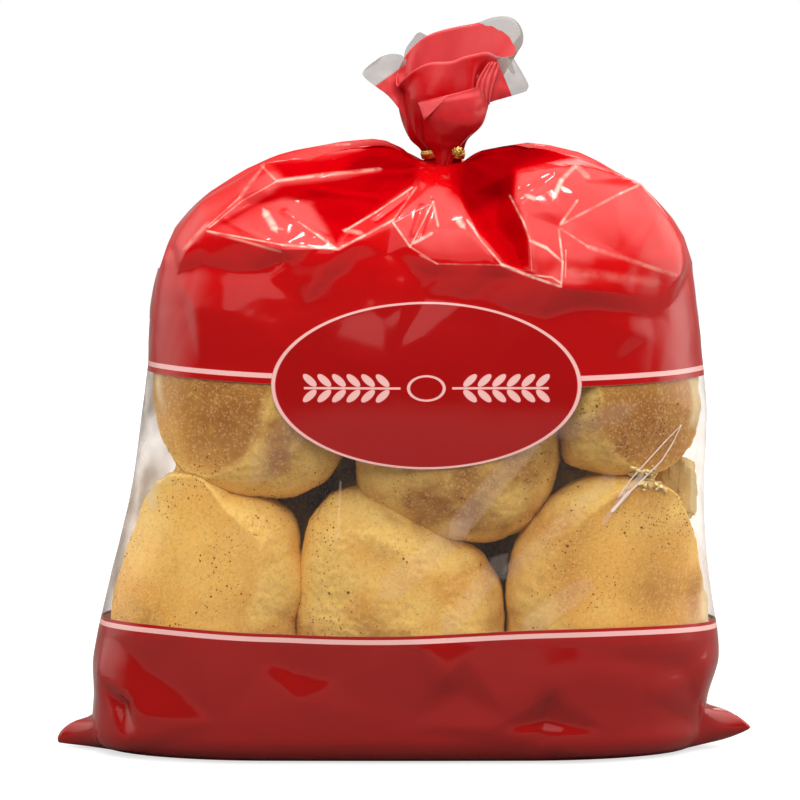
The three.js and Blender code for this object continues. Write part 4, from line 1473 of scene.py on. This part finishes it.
def wheat_motif(n, x, z):
    from_x, from_z = n.minus(x, LABEL.x), n.minus(z, LABEL.z - 1)
    along = n.minus(n.absolute(from_x), EAR_START)
    across = n.absolute(from_z)
    # each grain is an ellipse, slanted outward, one to each pitch along the stem
    slanted = n.minus(along, n.times(across, GRAIN_SLANT))
    step = n.over(n.minus(n.calc("MODULO", slanted, EAR_PITCH), EAR_PITCH / 2), GRAIN_HALF[0])
    off = n.over(n.minus(across, GRAIN_AWAY), GRAIN_HALF[1])
    grains = n.ramp(n.plus(n.calc("POWER", step, 2.0), n.calc("POWER", off, 2.0)), *GRAIN_EDGE)
    last = EAR_PITCH * EAR_GRAINS
    grains = n.times(grains, n.times(n.ramp(slanted, 0.0, 0.1), n.ramp(slanted, last, last - 0.1)))
    stem = n.times(n.ramp(along, *STEM_START), n.ramp(along, *STEM_END))
    stem = n.times(n.ramp(across, *STEM_EDGE), stem)
    flat_x, flat_z = n.over(from_x, BUN_HALF[0]), n.over(from_z, BUN_HALF[1])
    bun = n.plus(n.times(flat_x, flat_x), n.times(flat_z, flat_z))
    bun = n.ramp(n.absolute(n.minus(bun, BUN_LINE)), *BUN_EDGE)
    return n.larger(n.larger(grains, stem), bun)


# Painted highlights along the printed film's creases, fine ones and a few wide gleams, as seen from the
# front:
# from, to, half width, strength.
CREASE_HIGHLIGHTS = [
    ((-86.5, 228.4), (-53.7, 222.3), 0.3, 0.7),
    ((-53.7, 222.3), (-29.7, 220.4), 0.45, 0.95),
    ((-86.5, 228.2), (-54.5, 219.3), 0.5, 0.35),
    ((-29.7, 220.4), (-38.5, 226.9), 0.5, 0.95),
    ((-38.5, 226.9), (-46.5, 232.4), 0.35, 0.7),
    ((-61, 236.4), (-57, 229.6), 1.3, 0.9),
    ((-57, 229.6), (-53.5, 229.2), 0.5, 0.5),
    ((-28.8, 220.4), (-17.5, 226.4), 0.5, 0.75),
    ((-17.5, 226.4), (-4.8, 233.2), 0.45, 0.5),
    ((-4.8, 233.2), (5.3, 247.5), 0.4, 0.35),
    ((-25.9, 228.6), (-12.4, 236.6), 0.4, 0.6),
    ((-12.4, 236.6), (3.6, 247.5), 0.35, 0.6),
    ((-25.9, 228.6), (-19, 227.5), 0.8, 0.5),
    ((-4.8, 232), (2.7, 221.4), 0.4, 0.8),
    ((2.7, 221.4), (14.5, 213.9), 0.3, 0.5),
    ((2.7, 221.4), (12.8, 241.2), 0.3, 0.8),
    ((-4.8, 232), (11, 240), 0.25, 0.4),
    ((4.4, 223.1), (12, 227.3), 0.6, 0.8),
    ((12.8, 241.2), (14.9, 230.7), 0.45, 0.7),
    ((-55.4, 250.5), (-36, 253), 0.6, 0.6),
    ((-36, 253), (-10.7, 255.5), 0.7, 0.35),
    ((-62.5, 256.8), (-56.2, 250.5), 0.5, 0.45),
    ((-56.2, 250.1), (-71.3, 241.6), 0.3, 0.5),
    ((-71.3, 241.6), (-85.7, 229.9), 0.3, 0.55),
    ((-62, 257), (-72.2, 243.3), 0.7, 0.3),
    ((-72.2, 243.3), (-86.5, 230.4), 0.3, 0.4),
    ((-96.6, 220.6), (-86.5, 231.6), 0.8, 0.3),
    ((-42, 266), (-24, 266.6), 0.5, 0.4),
    ((27.7, 233.2), (34, 224), 0.4, 0.8),
    ((34, 224), (43.2, 213.4), 0.35, 0.8),
    ((43.2, 213.4), (56.7, 208), 0.6, 0.85),
    ((56.7, 208), (68.9, 203.9), 0.5, 0.9),
    ((54.2, 209.2), (65.1, 208), 0.35, 0.6),
    ((65.1, 208), (68.9, 205.5), 0.4, 0.7),
    ((7, 217.7), (14.6, 213.9), 0.35, 0.4),
    ((14.6, 213.9), (43.2, 213.4), 0.3, 0.3),
    ((46.6, 243.8), (52.5, 232.4), 0.4, 0.7),
    ((52.5, 232.4), (55.5, 224), 0.45, 0.75),
    ((55.5, 224), (56.2, 211), 0.25, 0.35),
    ((55.5, 224), (62.6, 221), 0.6, 0.8),
    ((62.6, 221), (69.3, 215.1), 0.5, 0.75),
    ((68.1, 229), (69.8, 214.7), 0.4, 0.8),
    ((69.8, 214.7), (69.2, 204.6), 0.4, 0.85),
    ((71.2, 220), (71, 208), 0.25, 0.5),
    ((75.2, 256.8), (69.3, 250.9), 0.8, 0.5),
    ((69.3, 250.9), (66, 243.3), 0.9, 0.8),
    ((76.1, 241.6), (68.9, 231.5), 0.5, 0.8),
    ((76.1, 256.8), (81, 252), 1.0, 0.6),
    ((68.9, 231.1), (95.4, 245), 0.5, 0.35),
    ((95.4, 245), (103, 248.4), 0.5, 0.4),
    ((68.9, 229.4), (81.1, 221.4), 0.4, 0.45),
    ((81.1, 221.4), (119.9, 208.8), 0.8, 0.3),
    ((73.5, 210.5), (111.4, 205.4), 1.8, 0.1),
    ((23.9, 233.2), (25.8, 230.7), 1.1, 0.9),
    ((54.2, 243.9), (57.6, 242.5), 0.8, 0.6),
]

# Pale streaks painted on the clear film as its reflections and highlights, likewise.
REFLECTION_STREAKS = [
    ((60, 141), (24, 98), 4.6, 0.10),
    ((24, 97), (-6, 71), 5.5, 0.07),
    ((42, 82), (20, 55), 4.2, 0.08),
    ((90, 119), (46, 78), 3.2, 0.07),
    ((78, 71), (56, 55), 4.6, 0.08),
    ((71, 140), (97, 150), 4.2, 0.06),
    ((-40, 152), (-62, 124), 7.0, 0.05),
    ((-28, 118), (-29, 92), 0.45, 0.16),
    ((122, 143), (115.5, 136.4), 0.2, 0.7),
    ((115.5, 136.4), (108.7, 129), 0.25, 0.85),
    ((108.7, 129), (99.7, 119), 0.25, 0.85),
    ((99.7, 119), (94.3, 111.4), 0.3, 0.7),
    ((122, 143), (118.6, 135.7), 0.2, 0.7),
    ((118.6, 135.7), (113.4, 127.4), 0.25, 0.85),
    ((113.4, 127.4), (106, 120), 0.3, 0.85),
    ((106, 120), (99, 113.4), 0.4, 0.85),
    ((99, 113.4), (91.6, 105.2), 0.7, 0.75),
    ((104.5, 121), (96.5, 112.5), 1.0, 0.3),
    ((96.5, 112.5), (88, 100), 1.1, 0.2),
]
STREAK_BLUR = 0.22  # how soft their edges are, against their half width
CREASE_HIGHLIGHT_BLUR = 0.85
STREAK_END = 0.7  # the less this is, the further they run out past their ends


def painted_gleams(n, x, z, streaks, blur):
    """How white the film is painted over the streaks, as painted reflections and highlights."""
    whiteness = None
    for (x0, z0), (x1, z1), half_width, strength in streaks:
        run_x, run_z = x1 - x0, z1 - z0
        length = math.hypot(run_x, run_z)
        from_x, from_z = n.minus(x, x0), n.minus(z, z0)
        along = n.times_plus(from_x, run_x / length, n.times(from_z, run_z / length))
        across = n.times_plus(from_x, run_z / length, n.times(from_z, -run_x / length))
        past = n.larger(n.larger(n.times(along, -1.0), n.minus(along, length)), 0.0)
        away = n.plus(n.times(past, STREAK_END), n.absolute(across))
        soft = half_width * blur
        one = n.ramp(away, half_width + soft, half_width - soft, 0.0, strength)
        whiteness = one if whiteness is None else n.plus(whiteness, one)
    return whiteness


def printed_material(wrinkles):
    material, n = new_material("printed_film")
    place = object_mm(n)
    _, colour = print_colour(n, place)
    # double and folded film is deeper in colour and duller; the deeper red is partly painted shade in the
    # folds, and the hollows' darkest red is painted shade
    fold_shade = n.attribute("fold_shade")
    colour = n.mix(n.times(fold_shade, 0.9, clamp=True), colour, RED_FOLD_SHADE)
    colour = n.mix(n.ramp(fold_shade, 1.0, 2.0), colour, RED_HOLLOW_SHADE)
    # painted highlights along the creases, where the light catches them
    lines = painted_gleams(n, *seen_place(n, place), CREASE_HIGHLIGHTS, CREASE_HIGHLIGHT_BLUR)
    lines = n.times(lines, n.ramp(n.axes(place)[1], 6.0, 0.0))  # on the front alone
    lines = n.times(lines, n.ramp(n.noise(place, 0.14, 2.0, 0.6), 0.36, 0.62, 0.3, 0.95))
    normal, roughness = wrinkled(n, place, wrinkles, 0.25)
    n.surface(
        Base_Color=n.mix(n.smaller(lines, CREASE_HIGHLIGHT_MOST), colour, CREASE_HIGHLIGHT_PINK),
        Roughness=n.times_plus(fold_shade, 0.2, roughness),
        Specular_IOR_Level=0.0,
        Coat_Weight=n.times_plus(fold_shade, -1.0, 1.0, clamp=True),
        Coat_Roughness=0.1,
        Coat_IOR=1.5,
        Normal=normal,
    )
    return material


# ------------------------------------------------------------------ clear and loose film

FILM_IOR = 1.45
SHEEN_MOST = 0.42  # of the light that the clear film reflects
FAR_LOSS = 0.85  # of the sheen, on the far side
FRONT_FADE = (0.0, -10.0)  # depths between which the streaks set in
LEFT_TINT = (-88.0, -100.0)  # where the far side is painted with the grey of the room it reflects, across
RIGHT_TINT = (108.0, 124.0, 0.0, 0.5)
CLEAR_VEIL = 0.012  # how much the clear film hides all over
# the colour of the painted reflection streaks, and of the film's faint haze
CLEAR_WHITE = rgb(246, 226, 220)
REFLECTED_GREY_RIGHT = rgb(206, 206, 202)
REFLECTED_GREY_LEFT = rgb(116, 118, 120)
MILKY_COVER = 0.42  # how much of what is behind the loose clear film it hides
MILKY = rgb(166, 158, 156)
LOOSE_RED = rgb(178, 2, 12)
LOOSE_LIT_PINK = rgb(236, 92, 98)


def window_material(wrinkles):
    """Clear film: it shows by its reflections, by streaks of painted reflection, and by the print's edge."""
    material, n = new_material("clear_film")
    place = object_mm(n)
    ink, colour = print_colour(n, place)
    x, y, _ = n.axes(place)
    normal, roughness = wrinkled(n, place, wrinkles, 0.25)
    sheen = n.times(n.add("ShaderNodeFresnel", IOR=FILM_IOR, Normal=normal).outputs[0], 1.1)
    sheen = n.smaller(sheen, SHEEN_MOST)
    # the far side shows little but the grey of the room in it, painted as a reflection, where it curves away
    # at the sides
    far = n.add("ShaderNodeNewGeometry").outputs["Backfacing"]
    far = n.times(far, n.add("ShaderNodeLightPath").outputs["Is Camera Ray"])
    sheen = n.times(sheen, n.times_plus(far, -FAR_LOSS, 1.0))
    # painted reflections and highlights along the streaks, on the front alone
    whiteness = painted_gleams(n, *seen_place(n, place), REFLECTION_STREAKS, STREAK_BLUR)
    whiteness = n.times(whiteness, n.ramp(y, *FRONT_FADE))
    left = n.ramp(x, *LEFT_TINT)
    side = n.times(n.larger(left, n.ramp(x, *RIGHT_TINT)), far)
    side = n.times(side, n.ramp(n.noise(place, 0.05, 2.0, 0.5), 0.2, 0.7, 0.4, 0.8))
    whiteness = n.plus(n.plus(whiteness, side), CLEAR_VEIL)
    clear = n.plus(sheen, whiteness, clamp=True)
    reflection_and_haze_colour = n.mix(side, CLEAR_WHITE, n.mix(left, REFLECTED_GREY_RIGHT, REFLECTED_GREY_LEFT))
    n.surface(
        Base_Color=n.mix(ink, reflection_and_haze_colour, colour),
        Roughness=roughness,
        Metallic=n.times(n.over(sheen, clear), n.minus(1.0, ink)),
        Alpha=n.larger(ink, clear),
        Normal=normal,
    )
    return material


def loose_material(wrinkles):
    """Film of the loose end: printed red, painted paler as light and darker near the neck as shade, and
    milky where it is left clear.
    """
    material, n = new_material("loose_film")
    place = object_mm(n)
    ink = n.ramp(n.attribute("printed"), -0.15, 0.15)
    # painted shade: darker toward the neck, where the film gathers
    low = n.ramp(n.axes(place)[2], NECK.z + 20, NECK.z + 3)
    mottle = n.noise(place, 0.08, 3.0, 0.55)
    # painted light: the pale tone marks the film as lit, with the ink's own mottle
    tone = n.times_plus(n.minus(mottle, 0.5), 0.35, n.attribute("pale"), clamp=True)
    red = n.mix(tone, LOOSE_RED, LOOSE_LIT_PINK)
    red = n.mix(n.times(low, 0.8), red, RED_FOLD_SHADE)
    normal, roughness = wrinkled(n, place, wrinkles, 0.2)
    sheen = n.add("ShaderNodeFresnel", IOR=FILM_IOR, Normal=normal).outputs[0]
    n.surface(
        Base_Color=n.mix(ink, MILKY, red),
        Roughness=n.plus(roughness, 0.08),
        Specular_IOR_Level=0.26,
        Alpha=n.larger(ink, n.times_plus(sheen, 0.5, MILKY_COVER, clamp=True)),
        Normal=normal,
    )
    return material


# ------------------------------------------------------------------ bread and foil

CRUST_BAKED_AND_SHADED = rgb(72, 38, 14)
CRUST_TAN_AND_SHADE = rgb(164, 104, 42)
CRUST_BROWN = rgb(224, 166, 78)
CRUST_GOLD = rgb(250, 196, 98)
CRUST_YELLOW = rgb(255, 219, 126)
UPPER_SHADE = (116.0, 138.0, 0.0, 0.42)  # painted shade on the upper rolls, under the printed top: between which heights, how much
CRUMB_SHADES = ((0, 0.3, rgb(255, 226, 158)), (1, 0.22, rgb(176, 118, 50)))  # channel, strength, colour
COAT_CELLS = 1.15  # crumbs to a millimetre
# Dark specks: how many to a millimetre, how big against their cell, strength and colour.
SPECKS = ((0.7, 0.42, 0.75, rgb(160, 98, 36)), (0.2, 0.2, 0.9, rgb(104, 58, 22)))
INNER_CRUMB = (rgb(222, 192, 130), rgb(250, 236, 196))
LOOSE_CRUMB = (rgb(138, 84, 34), rgb(216, 158, 80), rgb(248, 216, 150))
FLAKE_CRUMB = (rgb(216, 188, 122), rgb(246, 226, 172))
FOIL_GOLD = (rgb(205, 158, 62), rgb(250, 222, 128))


def crust_material():
    material, n = new_material("crumbed_crust")
    place = object_mm(n)
    torn, pressed, side_on, pale = (n.attribute(name) for name in ROLL_LAYERS)
    colour = n.mix(n.ramp(n.noise(place, 0.02, 3.0, 0.55), 0.36, 0.62), CRUST_BROWN, CRUST_GOLD)
    # paler crust patches, darker ones that are tan crust and painted shade, and the upper rolls painted
    # darker as shade under the printed top
    patchy = n.times(pale, n.ramp(n.noise(place, 0.12, 3.0, 0.6), 0.3, 0.6, 0.6, 1.1))
    colour = n.mix(n.larger(patchy, 0.0, clamp=True), colour, CRUST_YELLOW)
    colour = n.mix(n.times(patchy, -1.0, clamp=True), colour, CRUST_TAN_AND_SHADE)
    colour = n.mix(n.ramp(n.axes(place)[2], *UPPER_SHADE), colour, CRUST_TAN_AND_SHADE)
    # sides and bottom: baked brown crust, and painted shade in the gaps between the rolls
    colour = n.mix(side_on, colour, CRUST_BAKED_AND_SHADED)
    edge = n.times(n.minus(1.0, pressed), n.ramp(n.noise(place, 0.045, 2.0, 0.5), 0.3, 0.6))
    colour = n.mix(n.times(edge, 0.8), colour, CRUST_YELLOW)
    # the coat of fine crumbs: each a little lighter or darker than the crust
    shades = n.add("ShaderNodeSeparateColor", Color=n.cells(place, COAT_CELLS).outputs["Color"]).outputs
    for channel, strength, tone in CRUMB_SHADES:
        colour = n.mix(n.ramp(shades[channel], 0.6, 1.0, 0.0, strength), colour, tone)
    dust = n.ramp(n.noise(place, 0.035, 4.0, 0.6), 0.48, 0.66)
    for scale, radius, strength, tone in SPECKS:
        speck = n.cells(place, scale)
        size = n.add("ShaderNodeSeparateColor", Color=speck.outputs["Color"]).outputs[2]
        reach = n.times(size, radius)
        spot = n.ramp(speck.outputs["Distance"], reach, n.times(reach, 0.4))
        few = n.ramp(n.times_plus(dust, 0.5, size), 1.0, 1.15, 0.0, strength)
        colour = n.mix(n.times(spot, few), colour, tone)
    colour = n.mix(torn, colour, n.mix(n.noise(place, 0.25, 4.0, 0.65), *INNER_CRUMB))
    grain = n.noise(place, 1.4, 3.0, 0.6)
    height = n.times_plus(shades[0], 0.5, grain)
    pores = n.cells(place, 0.5).outputs["Distance"]
    height = n.times_plus(n.times(pores, torn), 1.4, height)
    n.surface(
        Base_Color=colour,
        Roughness=n.ramp(grain, 0.3, 0.8, 0.6, 0.85),
        Specular_IOR_Level=0.3,
        Normal=n.bump(height, 0.35, 0.3 * MM),
    )
    return material


def grain_material():
    """Loose crumbs: from dark brown to golden, one shade to each."""
    material, n = new_material("loose_crumbs")
    shade = n.attribute("side_on")
    dark, golden, light = LOOSE_CRUMB
    colour = n.mix(n.ramp(shade, 0.3, 0.8), dark, golden)
    grain = n.noise(object_mm(n), 1.8, 2.0, 0.6)
    n.surface(
        Base_Color=n.mix(n.ramp(shade, 0.8, 0.95), colour, light),
        Roughness=n.ramp(grain, 0.3, 0.7, 0.6, 0.85),
        Normal=n.bump(grain, 0.4, 0.2 * MM),
    )
    return material


def flake_material():
    """The pale inside of the bread, as crumbs and as the torn piece show it."""
    material, n = new_material("pale_crumbs")
    place = object_mm(n)
    pores = n.noise(place, 1.1, 4.0, 0.7)
    n.surface(
        Base_Color=n.mix(n.noise(place, 0.6, 3.0, 0.6), *FLAKE_CRUMB),
        Roughness=n.ramp(pores, 0.3, 0.7, 0.7, 0.95),
        Normal=n.bump(pores, 0.6, 0.5 * MM),
    )
    return material


def foil_material():
    material, n = new_material("gold_foil")
    place = object_mm(n)
    patch = n.noise(place, 0.35, 3.0, 0.6)
    n.surface(
        Base_Color=n.mix(patch, *FOIL_GOLD),
        Roughness=n.ramp(patch, 0.3, 0.7, 0.22, 0.4),
        Metallic=1.0,
        Normal=n.bump(n.noise(place, 0.9, 2.0, 0.5, 1.0), 0.5, 0.4 * MM),
    )
    return material


FLOOR_GREYS = (rgb(148, 148, 148), rgb(152, 152, 152))
FLOOR_REFLECTED = rgb(120, 118, 116)
FLOOR_GLOW = (0.2, 1.6, 0.70, 1.0)  # near and far, in metres, and how bright at each
WHITE = (1, 1, 1, 1)


def floor_material():
    """Pale to the eye, and duller in what the film reflects of it."""
    material, n = new_material("pale_floor")
    place = n.add("ShaderNodeTexCoord").outputs["Object"]
    colour = n.mix(n.noise(place, 6.0, 3.0, 0.5), *FLOOR_GREYS)
    away = n.add("ShaderNodeVectorMath", {"operation": "LENGTH"}, Vector=place).outputs["Value"]
    seen = n.add("ShaderNodeLightPath").outputs["Is Camera Ray"]
    n.surface(
        Base_Color=n.mix(seen, FLOOR_REFLECTED, colour),
        Roughness=0.7,
        Emission_Color=WHITE,
        Emission_Strength=n.times(seen, n.ramp(away, *FLOOR_GLOW)),
    )
    return material


# ------------------------------------------------------------------ putting it together


def hind_outline(outline, upper):
    """The outline of the roll behind one: a little larger, and shifted."""
    middle = sum((Vector(corner) for corner in outline), Vector((0, 0))) / len(outline)
    across, up = HIND_SHIFT[upper]
    return [
        (
            mix(middle.x + (x - middle.x) * HIND_SIZE, BAG_MIDDLE, HIND_CLOSER) + across,
            middle.y + (z - middle.y) * HIND_SIZE + up,
        )
        for x, z in outline
    ]


wrinkles = film_group()
printed = printed_material(wrinkles)
window = window_material(wrinkles)
loose = loose_material(wrinkles)
crust = crust_material()
foil = foil_material()

whole_film = shape_film()
film_tree = BVHTree.FromBMesh(whole_film)
pieces = [
    make_film(whole_film, "film_top", printed),
    make_film(whole_film, "film_window", window),
    make_film(whole_film, "film_band", printed),
]
whole_film.free()
pieces += make_knot(loose)
grain_spots = []
front_trees = []
for number, (name, outline) in enumerate(FRONT_ROLLS.items()):
    for side, place, shape in ((-1, "front", outline), (1, "back", hind_outline(outline, number > 2))):
        seed = ROLL_SEED + 10 * side + number
        roll, spots, tree = make_roll("roll_" + place + "_" + name, shape, side, seed, film_tree, crust)
        pieces.append(roll)
        grain_spots.append(spots)
        if side < 0:
            front_trees.append(tree)
pieces.append(make_grains(grain_spots, grain_material()))
pale_crumb = flake_material()
pieces.append(make_flakes(front_trees, film_tree, pale_crumb))
pieces.append(make_curl(film_tree, pale_crumb))
for piece in pieces:
    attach(piece, "root")
    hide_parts(BAG)
tie = make_tie(foil)
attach(tie, "root")
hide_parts(TIE)

# ------------------------------------------------------------------ floor, camera and light

FLOOR_HALF = 4  # metres, as everything from here on
FLOOR_SQUARES = 8

bm = bmesh.new()
bmesh.ops.create_grid(bm, x_segments=FLOOR_SQUARES, y_segments=FLOOR_SQUARES, size=FLOOR_HALF)
mesh = bpy.data.meshes.new("floor")
bm.to_mesh(mesh)
bm.free()
mesh.materials.append(floor_material())
floor = bpy.data.objects.new("floor", mesh)
bpy.context.scene.collection.objects.link(floor)

camera_data = bpy.data.cameras.new("camera")
camera_data.sensor_width = 36
camera_data.lens = camera_data.sensor_width * VIEW_DISTANCE / FRAME_WIDTH
camera = bpy.data.objects.new("camera", camera_data)
camera.location = (VIEW_CENTRE + SHIFT - VIEW_ALONG * VIEW_DISTANCE) * MM
camera.rotation_euler = (math.pi / 2 - VIEW_LIFT, 0, 0)
bpy.context.scene.collection.objects.link(camera)
bpy.context.scene.camera = camera

# Soft lights: name, place, height that it aims at, width, height, power, and whether it is mirrored.
LIGHTS = [
    ("front", (-0.6, -1.5, 1.5), 0.14, 2.0, 1.5, 9, True),
    ("spot_0", (-0.15, -0.35, 1.75), 0.2, 0.13, 0.13, 2.2, True),
    ("spot_1", (0.4, -0.5, 1.7), 0.2, 0.13, 0.13, 2.2, True),
    ("back", (0.5, 1.7, 1.3), 0.14, 1.5, 1.1, 12, True),
    ("fill_0", (-0.75, -1.5, 1.35), 0.14, 1.0, 0.8, 11.6, False),
    ("fill_1", (0.75, -1.5, 1.35), 0.14, 1.0, 0.8, 8.0, False),
]
LIGHT_WARMTH = (1, 0.965, 0.9)
# The room that the film mirrors: bright above and to the sides, grey behind and dim in front.
ROOM_DEPTH = (0.3, -0.3, 0.35, 0.06)  # from behind to in front, and how bright at each
ROOM_WARMTH = (1, 0.955, 0.88, 1)
# Its glows: direction, how wide, how bright.
ROOM_GLOWS = [
    ((0.15, -0.25, 0.95), (0.70, 0.96), 2.7),
    ((0.9, 0.15, 0.4), (0.72, 0.97), 2.2),
    ((-0.9, 0.2, 0.5), (0.74, 0.97), 1.2),
]

for name, place, aim, width, height, power, mirrored in LIGHTS:
    data = bpy.data.lights.new(name, "AREA")
    data.shape = "RECTANGLE"
    data.size, data.size_y = width, height
    data.energy = power
    data.color = LIGHT_WARMTH
    light = bpy.data.objects.new(name, data)
    light.location = place
    light.rotation_euler = (Vector((0, 0, aim)) - Vector(place)).to_track_quat("-Z", "Y").to_euler()
    light.visible_glossy = mirrored
    bpy.context.scene.collection.objects.link(light)

world = bpy.data.worlds.new("room")
world.use_nodes = True
world.node_tree.nodes.clear()
n = Nodes(world.node_tree)
way = n.add("ShaderNodeTexCoord").outputs["Generated"]
glow = n.ramp(n.axes(way)[1], *ROOM_DEPTH)
for toward, (dim, full), strength in ROOM_GLOWS:
    near = n.add("ShaderNodeVectorMath", {"operation": "DOT_PRODUCT"})
    n.put(near.inputs[0], way)
    n.put(near.inputs[1], Vector(toward).normalized())
    glow = n.plus(glow, n.ramp(near.outputs["Value"], dim, full, 0.0, strength))
seen = n.add("ShaderNodeLightPath").outputs["Is Camera Ray"]
sky = n.add("ShaderNodeBackground", Color=n.mix(seen, ROOM_WARMTH, WHITE), Strength=n.larger(seen, glow))
n.add("ShaderNodeOutputWorld", Surface=sky.outputs[0])
bpy.context.scene.world = world
bpy.context.scene.view_settings.view_transform = "Standard"
